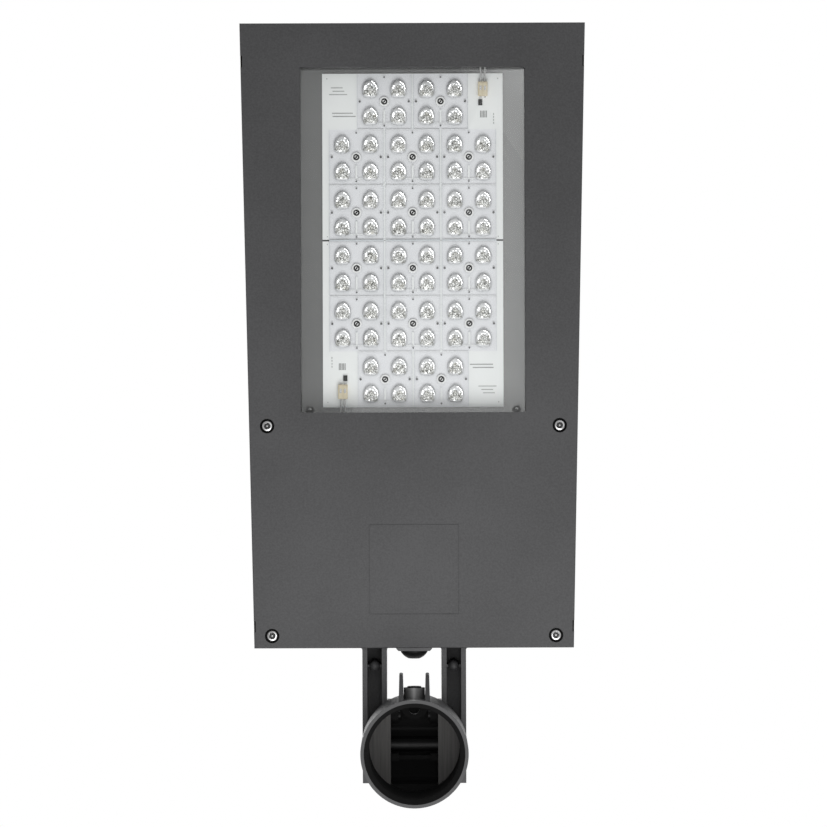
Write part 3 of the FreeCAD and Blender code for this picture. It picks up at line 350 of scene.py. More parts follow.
# Finishes of single pieces, in place of their slot's
finishes = {
    "socket_coat_with_painted_shade": socket_coat_with_painted_shade(),
    "housing_coat_lit_pad": powder_coat("housing_coat_lit_pad", True),
    "lens_core": lens_net(),
    "lens_white": mottled("lens_white", (0.84, 0.85, 0.85), (0.96, 0.96, 0.96), (0.12, 0.24), 0.0, 1500.0),
    # Painted highlight and painted shade inside the lenses: the glint finish for the glints, the shade
    # finish for the dark arcs.
    "lens_painted_glint": mottled("lens_painted_glint", grey(0.95), grey(0.98), (0.16, 0.24), 0.85, 1500.0),
    "lens_painted_shade": mottled("lens_painted_shade", (0.36, 0.36, 0.34), (0.58, 0.58, 0.55), (0.3, 0.4), 0.0, 1500.0),
    # Painted shade: a darkened steel and an unreflecting black for parts in shadow; the black is also the
    # grommet's own colour.
    "shade_darkened_steel": mottled("shade_darkened_steel", grey(0.024), grey(0.034), (0.45, 0.60), 0.9, 1100.0, 0.00001),
    "black_and_painted_shade": mottled("black_and_painted_shade", grey(0.004), grey(0.007), (0.55, 0.70), 0.9, 900.0, 0.00002),
    "black_screw": mottled("black_screw", grey(0.010), grey(0.016), (0.30, 0.42), 0.6, 1400.0, 0.00001),
    # A pale, less metallic steel: a painted highlight on the cover screws' pins and on the plate screws'
    # flecks.
    "pin_steel_and_glint": mottled("pin_steel_and_glint", grey(0.50), grey(0.60), (0.25, 0.35), 0.3, 1400.0),
    "halo_white": mottled("halo_white", grey(0.93), grey(0.97), (0.20, 0.30)),
    "edge_grey": mottled("edge_grey", (0.55, 0.57, 0.59), (0.72, 0.74, 0.76), (0.25, 0.35), 0.0, 300.0),
    "line_grey": mottled("line_grey", (0.62, 0.65, 0.68), (0.80, 0.82, 0.84), (0.25, 0.35), 0.0, 300.0),
    "print_grey": mottled("print_grey", grey(0.30), grey(0.42), (0.5, 0.6), 0.0, 2500.0),
    "plate_screw": mottled("plate_screw", grey(0.05), grey(0.11), (0.30, 0.42), 0.6, 1100.0),
}
# Painted shade: the pivot, lock and clamp hardware deep in the socket is darkened for the shadow there.
STEEL_IN_SHADE = ("pivot_sleeve", "pivot_bolt", "pivot_nut", "lock_bolts", "lock_nuts", "clamp_screw")
BLACK_IN_SHADE = ("cord_clamp_bar", "cord_clamp_screws", "cable_grommet")

slot_of = {part["node"]: part["material_slot"] for part in frame["record"]["subparts"]}
for name, node in nodes.items():
    node.data.materials.clear()
    node.data.materials.append(materials[slot_of[name]])
nodes["pole_socket"].data.materials[0] = finishes["socket_coat_with_painted_shade"]
nodes["upper_housing"].data.materials[0] = finishes["housing_coat_lit_pad"]
for name in STEEL_IN_SHADE:
    nodes[name].data.materials[0] = finishes["shade_darkened_steel"]
for name in BLACK_IN_SHADE:
    nodes[name].data.materials[0] = finishes["black_and_painted_shade"]
nodes["heat_plate_screws"].data.materials[0] = finishes["plate_screw"]


# Mesh helpers

def piece(name, mesh, slot, smooth=True):
    """A new object in the row frame that rides on the head and takes a slot's finish."""
    obj = bpy.data.objects.new(name, mesh)
    bpy.context.scene.collection.objects.link(obj)
    if not mesh.materials:
        mesh.materials.append(materials[slot])
    for polygon in mesh.polygons:
        polygon.use_smooth = smooth
    if smooth:
        mesh.set_sharp_from_angle(angle=math.radians(32))
    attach(obj, "head")
    return obj


def mesh_from(name, bm, finish=None):
    """A clean mesh, with a finish of its own where one is named."""
    bmesh.ops.remove_doubles(bm, verts=bm.verts, dist=1e-7)
    bmesh.ops.recalc_face_normals(bm, faces=bm.faces)
    mesh = bpy.data.meshes.new(name)
    bm.to_mesh(mesh)
    bm.free()
    if finish:
        mesh.materials.append(finishes[finish])
    return mesh


def piece_from(name, bm, slot, finish=None, smooth=True):
    """A piece whose mesh has the same name."""
    return piece(name, mesh_from(name, bm, finish), slot, smooth=smooth)


def circle(steps):
    """Angles in equal steps around a circle."""
    return [2 * math.pi * step / steps for step in range(steps)]


def ring_strip(bm, lower, upper):
    """Faces between two rings of as many points."""
    count = len(lower)
    for step in range(count):
        after = (step + 1) % count
        corners = [lower[step], lower[after], upper[after], upper[step]]
        if len(set(corners)) > 2:
            bm.faces.new(corners)


def lathe(bm, profile, matrix, segments=40):
    """Turns a (radius, height) profile about the local Z axis."""
    rings = []
    for radius, height in profile:
        if radius < 1e-9:
            rings.append([bm.verts.new(matrix @ Vector((0, 0, height)))])
            continue
        rings.append([bm.verts.new(matrix @ Vector((radius * math.cos(a), radius * math.sin(a), height)))
                      for a in circle(segments)])
    for low, high in zip(rings, rings[1:]):
        join_rings(bm, low, high)


def lathe_mm(bm, profile, matrix, segments):
    """As lathe, with the profile in millimetres."""
    lathe(bm, [(radius * MM, height * MM) for radius, height in profile], matrix, segments)


def rounded(radius, start, height, steps):
    """Profile points of a head that rounds over from its side, in steps of 15 degrees."""
    return [(radius - height + height * math.cos(a), start + height * math.sin(a))
            for a in [math.radians(step * 15) for step in range(1, steps + 1)]]


def join_rings(bm, low, high):
    """Faces between two rings, where either may be a single point."""
    if len(low) == 1 and len(high) == 1:
        return
    if len(low) == 1 or len(high) == 1:
        tip, ring = (low[0], high) if len(low) == 1 else (high[0], low)
        for step in range(len(ring)):
            bm.faces.new((tip, ring[step], ring[(step + 1) % len(ring)]))
        return
    ring_strip(bm, low, high)


def solids_of(node):
    """The boxes of the separate solids in a node, as (low, high) pairs."""
    mesh = nodes[node].data
    parent = list(range(len(mesh.vertices)))
    keys = {}
    for vertex in mesh.vertices:
        key = tuple(round(value, 6) for value in vertex.co)
        parent[vertex.index] = keys.setdefault(key, vertex.index)

    def find(index):
        while parent[index] != index:
            parent[index] = parent[parent[index]]
            index = parent[index]
        return index

    for polygon in mesh.polygons:
        first = find(polygon.vertices[0])
        for index in polygon.vertices[1:]:
            parent[find(index)] = first
    groups = {}
    for vertex in mesh.vertices:
        groups.setdefault(find(vertex.index), []).append(vertex.co)
    boxes = []
    for points in groups.values():
        low = Vector([min(point[axis] for point in points) for axis in range(3)])
        high = Vector([max(point[axis] for point in points) for axis in range(3)])
        boxes.append((low, high))
    return sorted(boxes, key=lambda pair: (round(pair[0].y, 4), round(pair[0].x, 4)))


# Camera: straight below, with the tip of the head up in the picture

LID_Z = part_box("cover_frame")[0][2]
CAMERA_DISTANCE = 3.443
CAMERA_ROLL = math.radians(0.19)
CAMERA_FOCAL = 169.2
CAMERA_X = -0.0001
CAMERA_Y = 0.2946
camera_z = LID_Z - CAMERA_DISTANCE

camera_data = bpy.data.cameras.new("camera")
camera_data.sensor_width = 36.0
camera_data.lens = CAMERA_FOCAL
camera_data.clip_end = 60.0
camera = bpy.data.objects.new("camera", camera_data)
bpy.context.scene.collection.objects.link(camera)
right = Vector((-math.cos(CAMERA_ROLL), -math.sin(CAMERA_ROLL), 0))
up = Vector((-math.sin(CAMERA_ROLL), math.cos(CAMERA_ROLL), 0))
back = right.cross(up)
camera.matrix_world = Matrix((
    (right.x, up.x, back.x, CAMERA_X),
    (right.y, up.y, back.y, CAMERA_Y),
    (right.z, up.z, back.z, camera_z),
    (0, 0, 0, 1),
))
bpy.context.scene.camera = camera


# Lens modules: one clear plate with four smooth lenses over their chips

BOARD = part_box("led_board_front")[0][2]
LENS_HEIGHT = 4.1 * MM
LENS_STEP = 0.3 * MM
PLATE = 1.5 * MM
POCKET_RINGS = ((0.58, 1.6), (0.42, 2.5), (0.2, 2.9))
POCKET_SHARE = 0.62
QUADRANT_X = 24.2 * MM
QUADRANT_Y = 24.51 * MM
LENS_SIDE = 7.1 * MM
LENS_TIP = 8.2 * MM
LENS_POLE = 7.7 * MM
LENS_HALF_X = 12.55 * MM
LENS_HALF_Y = 12.08 * MM
LENS_SET_BACK = 0.95 * MM
LENS_STEPS = 9
MODULES = 16


def lens_outline(angle):
    """The plan radius of a lens, round to the tip and squarer to the pole."""
    c, s = math.cos(angle), math.sin(angle)
    if s >= 0:
        return ((abs(c) / LENS_SIDE) ** 1.8 + (s / LENS_TIP) ** 1.8) ** (-1 / 1.8)
    power = 3.6
    return (abs(c / LENS_SIDE) ** power + abs(s / LENS_POLE) ** power) ** (-1 / power)


def rectangle_radius(angle):
    """The plan radius of the quarter plate around a lens."""
    c, s = abs(math.cos(angle)), abs(math.sin(angle))
    return min(QUADRANT_X / 2 / max(c, 1e-9), QUADRANT_Y / 2 / max(s, 1e-9))


def lens_places(x=0.0, y=0.0):
    """The centres of the four lenses of the module at x, y."""
    return [(x + sx * LENS_HALF_X, y + sy * LENS_HALF_Y - LENS_SET_BACK) for sx in (-1, 1) for sy in (-1, 1)]


def lens_module_mesh():
    """One plate with its four domes, hollowed over the chips."""
    bm = bmesh.new()
    corner = math.atan2(QUADRANT_Y, QUADRANT_X)
    base = sorted({round(value, 6) for step in range(10) for value in (corner * step / 9,
                  corner + (math.pi / 2 - corner) * step / 9)})
    angles = sorted({round(value % (2 * math.pi), 6) for first in base
                     for value in (first, math.pi - first, math.pi + first, -first)})
    base_z = BOARD - PLATE
    for sx in (-1, 1):
        for sy in (-1, 1):
            cx, cy = sx * LENS_HALF_X, sy * LENS_HALF_Y - LENS_SET_BACK
            offset = Vector((sx * QUADRANT_X / 2 - cx, sy * QUADRANT_Y / 2 - cy, 0))

            def ring(share, z):
                return [bm.verts.new((cx + share * lens_outline(a) * math.cos(a),
                                      cy + share * lens_outline(a) * math.sin(a), z)) for a in angles]

            def edge(z):
                return [bm.verts.new((cx + offset.x + rectangle_radius(a) * math.cos(a),
                                      cy + offset.y + rectangle_radius(a) * math.sin(a), z)) for a in angles]

            rings = [edge(base_z), ring(1.02, base_z), ring(1.0, base_z - LENS_STEP)]
            for step in range(1, LENS_STEPS + 1):
                turn = math.pi / 2 * step / LENS_STEPS
                share = 0.30 + 0.70 * math.cos(turn) ** 0.85
                rise = (LENS_HEIGHT - LENS_STEP) * math.sin(turn) ** 1.25
                rings.append(ring(share, base_z - LENS_STEP - rise))
            rings.append(ring(0.12, base_z - LENS_HEIGHT * 0.93))
            for low, high in zip(rings, rings[1:]):
                ring_strip(bm, low, high)
            bm.faces.new(rings[-1])
            foot = BOARD - 0.03 * MM
            under = [edge(foot), ring(POCKET_SHARE, foot)]
            under += [ring(share, BOARD - depth * MM) for share, depth in POCKET_RINGS]
            for low, high in zip(under, under[1:]):
                ring_strip(bm, low, high)
            bm.faces.new(under[-1])
    bmesh.ops.remove_doubles(bm, verts=bm.verts, dist=2e-6)
    open_edges = [e for e in bm.edges if len(e.link_faces) == 1]
    bmesh.ops.bridge_loops(bm, edges=open_edges)
    return mesh_from("lens_module", bm)


def small_box(bm, low, high):
    """A closed box between two corners."""
    made = bmesh.ops.create_cube(bm, size=1.0)["verts"]
    size = Vector(high) - Vector(low)
    middle = (Vector(high) + Vector(low)) / 2
    for vertex in made:
        vertex.co = Vector([vertex.co[axis] * size[axis] + middle[axis] for axis in range(3)])


# Inner optics: rings as (share of the outline, height in mm), glints (painted highlights) as (turn, share,
# width)

CORE_RINGS = ((1.0, 0.2), (0.965, 1.2), (0.90, 2.0), (0.81, 2.7), (0.70, 3.2), (0.56, 3.6), (0.42, 3.85),
              (0.28, 4.0), (0.14, 4.05))
CORE_SIDES = 22
CORE_SEEDS = (3, 7, 11, 19)
CORE_LEAN = Matrix.Rotation(math.radians(-17), 3, "X")
WHITE, NET, PAINTED_SHADE, PAINTED_GLINT = range(4)
GLINTS = ([(turn, 0.82, 0.065) for turn in range(-4, 80, 9)]
          + [(turn, 0.64, 0.12) for turn in range(148, 186, 11)]
          + [(turn, 0.52, 0.06) for turn in (24, 70, 110)] + [(262, 0.74, 0.09)])
GLINTS_LEFT_OUT = 0.16
GLINT_HALF = 0.62 * MM
GLINT_THICKNESS = 0.08


def core_slot(share, turn):
    """Which finish a facet of the inner optics takes: white around the rim and on the tip side as a painted
    highlight, the net elsewhere, and arcs of painted shade at the rim.
    """
    if share > 0.93 and 150 < turn < 205:
        return PAINTED_SHADE
    if 0.78 < share and (308 < turn < 330 or 212 < turn < 232):
        return PAINTED_SHADE
    if share < 0.42 or share < 0.74 and (turn > 195 or turn < 25):
        return NET
    return WHITE


def core_facets(bm, cx, cy, skew, random, slots):
    """The faceted cone inside one lens; slots takes each facet's finish by its centre."""
    previous = None
    for index, (share, height) in enumerate(CORE_RINGS):
        ring = []
        for step in range(CORE_SIDES):
            angle = 2 * math.pi * (step + 0.5 * (index % 2)) / CORE_SIDES
            reach = share * lens_outline(angle) * random.uniform(0.95, 0.99)
            z = BOARD - PLATE - (height * 0.94 + random.uniform(-0.14, 0.10)) * MM
            ring.append(bm.verts.new((cx + reach * math.cos(angle), cy + reach * math.sin(angle), z)))
        if not previous:
            bm.faces.new(ring)
        else:
            for step in range(CORE_SIDES):
                after = (step + 1) % CORE_SIDES
                turn = (180 - math.degrees(2 * math.pi * (step + 0.5) / CORE_SIDES) + skew) % 360
                for corners in ((previous[step], previous[after], ring[step]),
                                (previous[after], ring[after], ring[step])):
                    face = bm.faces.new(corners)
                    slots[face.calc_center_median().to_tuple(5)] = core_slot(share, turn)
        previous = ring
    face = bm.faces.new(previous)
    slots[face.calc_center_median().to_tuple(5)] = NET


def core_glints(bm, cx, cy, skew, random):
    """Painted highlights: bright facets over the flanks of one lens's core, standing for reflections in the
    dome, as their faces.
    """
    faces = []
    for turn, share, width in GLINTS:
        if random.random() < GLINTS_LEFT_OUT:
            continue
        angle = math.radians(180 - turn + skew)
        reach = lens_outline(angle) * (share + random.uniform(-0.03, 0.03))
        inside = next(high for low, high in zip(CORE_RINGS[::-1][1:], CORE_RINGS[::-1]) if low[0] > share)
        centre = Vector((cx + reach * math.cos(angle), cy + reach * math.sin(angle),
                         BOARD - PLATE - (inside[1] + 0.12) * MM))
        half_out = 0.5 * width * lens_outline(angle) * random.uniform(0.7, 1.1)
        half_round = GLINT_HALF * random.uniform(0.8, 1.25)
        tilt = CORE_LEAN @ Matrix.Rotation(math.radians(random.uniform(-6, 6)), 3, "Y")
        spin = Matrix.Rotation(angle, 3, "Z")
        low, high = [[bm.verts.new(centre + tilt @ (spin @ Vector((a * half_out, b * half_round, c * MM))))
                      for a, b in ((-1, -1), (1, -1), (1, 1), (-1, 1))] for c in (0, GLINT_THICKNESS)]
        for side in range(4):
            after = (side + 1) % 4
            faces.append(bm.faces.new((low[side], low[after], high[after], high[side])))
        faces += [bm.faces.new(low), bm.faces.new(high)]
    return faces


def lens_core_mesh(seed):
    """Faceted inner optics of the four lenses of one module, with the painted glints on their flanks."""
    bm = bmesh.new()
    random = Random(seed)
    slots = {}
    painted_glints = []
    for cx, cy in lens_places():
        skew = random.uniform(-9, 9)
        core_facets(bm, cx, cy, skew, random, slots)
        painted_glints += core_glints(bm, cx, cy, skew, random)
    for face in painted_glints:
        slots[face.calc_center_median().to_tuple(5)] = PAINTED_GLINT
    mesh = mesh_from("lens_core", bm)
    for polygon in mesh.polygons:
        corners = [mesh.vertices[index].co for index in polygon.vertices]
        middle = sum(corners, Vector()) / len(corners)
        polygon.material_index = slots.get(middle.to_tuple(5), WHITE)
    return mesh


module_mesh = lens_module_mesh()
core_meshes = [lens_core_mesh(seed) for seed in CORE_SEEDS]
module_centres = []
for number in range(1, MODULES + 1):
    node = "lens_module_%02d" % number
    low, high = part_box(node)
    x, y = (low[0] + high[0]) / 2, (low[1] + high[1]) / 2
    module_centres.append((x, y))
    mesh = module_mesh.copy()
    mesh.transform(Matrix.Translation((x, y, 0)))
    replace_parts(piece("lenses_%02d" % number, mesh, "clear_lens"), node)
    core = core_meshes[number * 7 // 3 % len(core_meshes)].copy()
    core.transform(Matrix.Translation((x, y, 0)))
    for finish in ("lens_white", "lens_core", "lens_painted_shade", "lens_painted_glint"):
        core.materials.append(finishes[finish])
    piece("lens_core_%02d" % number, core, "clear_lens", smooth=False)


def lens_foot(bm, x, y, top):
    """The thin shoulder around the foot of one lens."""
    rings = []
    for share, lift in ((1.03, 0.0), (1.03, 0.12), (1.06, 0.12), (1.06, 0.0)):
        rings.append([bm.verts.new((x + share * lens_outline(a) * math.cos(a),
                                    y + share * lens_outline(a) * math.sin(a), top - lift * MM))
                      for a in circle(28)])
    for low, high in zip(rings, rings[1:] + rings[:1]):
        ring_strip(bm, low, high)


PIPS = ((-21.8, 0, 1.0), (21.8, 0, 1.0), (0, -21.6, 0.75), (0, 21.6, 0.75))
LINE_WIDTH = 0.30 * MM
SEAM_STRIP = 0.75 * MM


def lens_details():
    """Edge lines, lens feet, locating pips and moulded ribs on the plates, and the strips between boards."""
    pips, ribs, edges, lines = (bmesh.new() for _ in range(4))
    top = BOARD - PLATE
    for x, y in module_centres:
        for side in (-1, 1):
            x0, x1 = sorted((x + side * QUADRANT_X, x + side * (QUADRANT_X - LINE_WIDTH)))
            small_box(lines, (x0, y - QUADRANT_Y, top - 0.05 * MM), (x1, y + QUADRANT_Y, top))
        for cx, cy in lens_places(x, y):
            lens_foot(edges, cx, cy, top)
        for dx, dy, radius in PIPS:
            spot = Matrix.Translation((x + dx * MM, y + dy * MM, top))
            lathe_mm(pips, [(0, 0), (radius, 0), (radius, -0.5), (0, -0.6)], spot, 12)
        small_box(ribs, (x - 0.8 * MM, y - 18.6 * MM, top - 0.12 * MM), (x + 0.8 * MM, y - 7.5 * MM, top))
        small_box(ribs, (x - 6.0 * MM, y - 19.6 * MM, top - 0.08 * MM), (x + 6.0 * MM, y - 19.1 * MM, top))
    seam = (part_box("led_board_front")[0][1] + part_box("led_board_rear")[1][1]) / 2
    for x, y in module_centres:
        if 0 < y - seam < QUADRANT_Y * 1.5:
            small_box(lines, (x - QUADRANT_X, seam - SEAM_STRIP, top - 0.04 * MM),
                      (x + QUADRANT_X, seam + SEAM_STRIP, top + 0.02 * MM))
    piece_from("lens_edges", edges, "clear_lens", "edge_grey", smooth=False)
    piece_from("module_lines", lines, "clear_lens", "line_grey", smooth=False)
    piece_from("lens_pips", pips, "driver_case", smooth=False)
    piece_from("lens_ribs", ribs, "board_white", smooth=False)


lens_details()


def pan_head(bm, matrix, radius, height, segments=28):
    """A screw's pan head."""
    profile = [(0, 0), (radius, 0), (radius, height * 0.35)]
    profile += [(radius * math.cos(a), height * (0.35 + 0.65 * math.sin(a)))
                for a in [math.radians(step * 15) for step in range(1, 5)]]
    profile += [(0, height)]
    lathe(bm, profile, matrix, segments)


GLINT_TURN = Matrix.Rotation(math.radians(52), 4, "Z")
HALO = ((2.95, 0), (2.95, 0.4), (4.0, 0.4), (4.3, 0), (2.95, 0))


def lens_screw_heads():
    """Black screws in the middle of the modules, each with a pale ring and two painted glints."""
    heads, painted_screw_glints, halos = (bmesh.new() for _ in range(3))
    top = BOARD - PLATE
    for number, (x, y) in enumerate(module_centres):
        flip = Matrix.Translation((x, y, top)) @ Matrix.Rotation(math.pi, 4, "X")
        turn = flip @ Matrix.Rotation(math.radians(37 * number + 20), 4, "Z")
        pan_head(heads, turn, 2.6 * MM, 1.6 * MM)
        lathe_mm(halos, HALO, flip, 28)
        # Painted highlight: two white slivers in each head's recess stand for the light caught there.
        for side in (-1, 1):
            arm = flip @ GLINT_TURN @ Matrix.Translation((0, side * 0.62 * MM, 0))
            steps = [math.radians(-80 + 20 * step) * side for step in range(9)]
            outer = [(1.25 * math.sin(a), side * (1.35 * math.cos(a) - 0.40)) for a in steps]
            inner = [(0.60 * math.sin(a), side * (0.55 * math.cos(a) - 0.25)) for a in steps]
            low, high = [[painted_screw_glints.verts.new(arm @ Vector((px * MM, py * MM, level * MM)))
                          for px, py in outer + inner[::-1]] for level in (1.45, 1.66)]
            ring_strip(painted_screw_glints, low, high)
            painted_screw_glints.faces.new(low)
            painted_screw_glints.faces.new(high)
    screws = piece_from("lens_screw_heads", heads, "bright_steel", "black_screw")
    piece_from("lens_screw_glints", painted_screw_glints, "bright_steel", "halo_white", smooth=False)
    piece_from("lens_screw_halos", halos, "clear_lens", "halo_white")
    return screws


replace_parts(lens_screw_heads(), "lens_screws")


# Cover screws: domed heads with a socket and a pin in its middle, in a well of painted shade; profiles in mm

HEAD_RADIUS = 4.95
HEAD_HEIGHT = 3.3
SHANK_RADIUS = 3.0
HEAD_PROFILE = [(0, 0), (HEAD_RADIUS, 0), (HEAD_RADIUS, 1.9), *rounded(HEAD_RADIUS, 1.9, 1.3, 6),
                (3.15, 3.28), (2.85, 3.0), (2.75, 1.2), (0.6, 1.1), (0, 1.1)]
PIT_SHADE_PROFILE = ((2.72, 1.14), (2.72, 1.22), (0.9, 1.22), (0.9, 1.14), (2.72, 1.14))
WELL_SHADE_PROFILE = ((5.0, 2.2), (5.0, 2.4), (6.0, 2.4), (6.0, 2.2), (5.0, 2.2))
PIN_PROFILE = ((0, 1.15), (0.85, 1.15), (0.85, 2.7), (0.6, 3.0), (0, 3.05))


def cover_screw_heads():
    """The four screws of the cover."""
    heads, pit_shades, pins, well_shades = (bmesh.new() for _ in range(4))
    for low, high in solids_of("cover_screws"):
        x, y = (low.x + high.x) / 2, (low.y + high.y) / 2
        flip = Matrix.Translation((x, y, low.z + HEAD_HEIGHT * MM)) @ Matrix.Rotation(math.pi, 4, "X")
        lathe_mm(heads, HEAD_PROFILE, flip, 48)
        depth = (high.z - low.z) / MM - HEAD_HEIGHT
        lathe_mm(heads, [(0, 0), (SHANK_RADIUS, 0), (SHANK_RADIUS, -depth), (0, -depth)], flip, 16)
        # Painted shade: a black disc at the bottom of each socket and a black ring in each well.
        lathe_mm(pit_shades, PIT_SHADE_PROFILE, flip, 24)
        lathe_mm(well_shades, WELL_SHADE_PROFILE, flip, 48)
        lathe_mm(pins, PIN_PROFILE, flip, 16)
    screws = piece_from("cover_screw_heads", heads, "bright_steel")
    piece_from("cover_screw_pit_shades", pit_shades, "black_component")
    piece_from("cover_screw_well_shades", well_shades, "black_rubber", "black_and_painted_shade")
    piece_from("cover_screw_pins", pins, "bright_steel", "pin_steel_and_glint")
    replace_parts(screws, "cover_screws")


cover_screw_heads()


def plate_screw_glints():
    """Painted highlights: small bright flecks on the two screws that show in the window's rear corners."""
    bm = bmesh.new()
    for low, high in solids_of("heat_plate_screws")[:2]:
        x, y = (low.x + high.x) / 2, (low.y + high.y) / 2
        for dx, dy, radius in ((-0.6, 1.0, 0.8), (0.9, 1.2, 0.55), (0.1, 2.0, 0.45)):
            spot = Matrix.Translation((x + dx * MM, y + dy * MM, low.z)) @ Matrix.Rotation(math.pi, 4, "X")
            lathe_mm(bm, [(0, -0.1), (radius, -0.1), (radius, 0.04), (0, 0.06)], spot, 12)
    piece_from("plate_screw_glints", bm, "bright_steel", "pin_steel_and_glint")


plate_screw_glints()


NOTCH_FROM_REAR = 19.2 * MM
NOTCH_FROM_TIP = 33.7 * MM
NOTCH_HALF = 4.9 * MM
SEAM = LID_Z + 4.0 * MM
REAR_HALF = 141.55 * MM


def notch_shades():
    """Painted shade: black boxes in the four pry notches of the cover, where their depth is in shadow."""
    bm = bmesh.new()
    low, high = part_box("cover_frame")
    for y in (low[1] + NOTCH_FROM_REAR, high[1] - NOTCH_FROM_TIP):
        share = (y - low[1]) / (high[1] - low[1])
        edge = REAR_HALF + (high[0] - REAR_HALF) * share
        for side in (-1, 1):
            x0, x1 = sorted((side * (edge - 1.5 * MM), side * (edge - 0.15 * MM)))
            small_box(bm, (x0, y - NOTCH_HALF, SEAM - 2.2 * MM), (x1, y + NOTCH_HALF, SEAM))
    piece_from("notch_shades", bm, "black_rubber", "black_and_painted_shade", smooth=False)


notch_shades()


# Terminals with wire entries and levers, and round leads

WAY_SPACING = 1.95 * MM
WAY_HALF = 1.55 * MM
CONTACT_HALF = 0.9 * MM
TAIL_HALF = 0.8 * MM
LIP = 0.8 * MM


def terminals():
    """Two-way terminals with a raised way for each wire, their contacts and tails."""
    bodies, hole_shades, metal = (bmesh.new() for _ in range(3))
    solids = solids_of("board_terminals")
    middle_y = sum((low.y + high.y) / 2 for low, high in solids) / 2
    for low, high in solids:
        outward = 1 if low.y > middle_y else -1
        y = (low.y + high.y) / 2
        front, tail = (high.y, low.y) if outward > 0 else (low.y, high.y)
        front_y = sorted((front, front + outward * 0.05 * MM))
        tail_y = sorted((tail, tail - outward * 1.4 * MM))
        small_box(bodies, (low.x, low.y, low.z + LIP), high)
        for side in (-1, 1):
            x = (low.x + high.x) / 2 + side * WAY_SPACING
            small_box(bodies, (x - WAY_HALF, low.y + LIP, low.z), (x + WAY_HALF, high.y - LIP, low.z + LIP))
            small_box(metal, (x - CONTACT_HALF, y - 1.2 * MM, low.z - 0.05 * MM),
                      (x + CONTACT_HALF, y + 2.6 * MM, low.z))
            # Painted shade: a black patch on the front of each way for its wire hole.
            small_box(hole_shades, (x - 1.0 * MM, front_y[0], low.z + 1.6 * MM),
                      (x + 1.0 * MM, front_y[1], low.z + 4.2 * MM))
            small_box(metal, (x - TAIL_HALF, tail_y[0], high.z - 0.5 * MM),
                      (x + TAIL_HALF, tail_y[1], high.z))
    bmesh.ops.bevel(bodies, geom=bodies.edges[:], offset=0.25 * MM, segments=2, affect="EDGES")
    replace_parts(piece_from("terminal_bodies", bodies, "cream_terminal"), "board_terminals")
    piece_from("terminal_entry_shades", hole_shades, "black_component", smooth=False)
    piece_from("terminal_contacts", metal, "bright_steel", smooth=False)


terminals()


def tube(bm, points, radius, segments=12):
    """A round tube through points that are close together."""
    rings = []
    for index, point in enumerate(points):
        before = points[max(index - 1, 0)]
        after = points[min(index + 1, len(points) - 1)]
        along = (after - before).normalized()
        across = along.cross(Vector((0, 0, 1))).normalized()
        third = across.cross(along)
        rings.append([bm.verts.new(point + radius * (math.cos(a) * across + math.sin(a) * third))
                      for a in circle(segments)])
    for low, high in zip(rings, rings[1:]):
        ring_strip(bm, low, high)
    bm.faces.new(rings[0])
    bm.faces.new(rings[-1])


LEAD_RADIUS = 0.78 * MM
LEAD_SWAY = 0.25 * MM
LEAD_STEPS = 24


def leads():
    """Round leads of the boards, with a slight sway."""
    bm = bmesh.new()
    for low, high in solids_of("board_leads"):
        x, z = (low.x + high.x) / 2, (low.z + high.z) / 2
        points = []
        for step in range(LEAD_STEPS + 1):
            share = step / LEAD_STEPS
            sway = LEAD_SWAY * math.sin(3.1 * share * math.pi + x * 900)
            points.append(Vector((x + sway, low.y + (high.y - low.y) * share, z + 0.4 * sway)))
        tube(bm, points, LEAD_RADIUS)
    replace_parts(piece_from("lead_wires", bm, "grey_lead"), "board_leads")


leads()


# Print and pads on the boards, kept plain; places in mm from the middle between the boards

# Blocks of bars, as (their ends across, the first one's place, their pitch, their height)
PRINT_BARS = (
    (((62.0, 72.5), (60.5, 71.0), (58.0, 74.0)), 135.5, 3.0, 0.7),
    (((53.0, 71.5), (50.5, 71.0)), 112.8, 2.8, 0.9),
)
CORNER_DOTS = [(x, y) for x in (-76.0, 76.0) for y in (3.4, 143.9)]
SEAM_NOTCH = 5.8 * MM
SEAM_NOTCH_HALF = 0.7 * MM


def board_marks():
    """Plain bars and dots for the boards' print, a pad field, and painted shade as black strips in the
    notches at the seam's ends.
    """
    pads, prints, seam_notch_shades = (bmesh.new() for _ in range(3))
    front_low, front_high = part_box("led_board_front")
    middle = (front_low[1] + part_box("led_board_rear")[1][1]) / 2
    z0, z1 = BOARD - 0.06 * MM, BOARD
    # Painted shade: black strips where the notches at the seam's ends lie.
    for side in (-1, 1):
        edge = side * front_high[0]
        x0, x1 = sorted((edge, edge - side * SEAM_NOTCH))
        small_box(seam_notch_shades, (x0, middle - SEAM_NOTCH_HALF, z0), (x1, middle + SEAM_NOTCH_HALF, z1))
    for sign in (1, -1):
        def place(bm, x0, x1, y0, y1):
            xs = sorted((sign * x0 * MM, sign * x1 * MM))
            ys = sorted((middle + sign * y0 * MM, middle + sign * y1 * MM))
            small_box(bm, (xs[0], ys[0], z0), (xs[1], ys[1], z1))
        for step in range(5):
            place(pads, -66.2 + step * 1.3, -65.4 + step * 1.3, 109.2, 115.2)
        for step in range(4):
            place(prints, -72.6, -71.9, 103.5 + 2.6 * step, 105.2 + 2.6 * step)
        for bars, first, pitch, height in PRINT_BARS:
            for row, (x0, x1) in enumerate(bars):
                place(prints, x0, x1, first - pitch * row, first + height - pitch * row)
        for x, y in CORNER_DOTS:
            place(prints, x - 0.4, x + 0.4, y - 0.4, y + 0.4)
    piece_from("board_pads", pads, "grey_case", smooth=False)
    piece_from("board_notch_shades", seam_notch_shades, "black_component", smooth=False)
    piece_from("board_print", prints, "grey_lead", "print_grey", smooth=False)


board_marks()


# Light, surroundings and floor

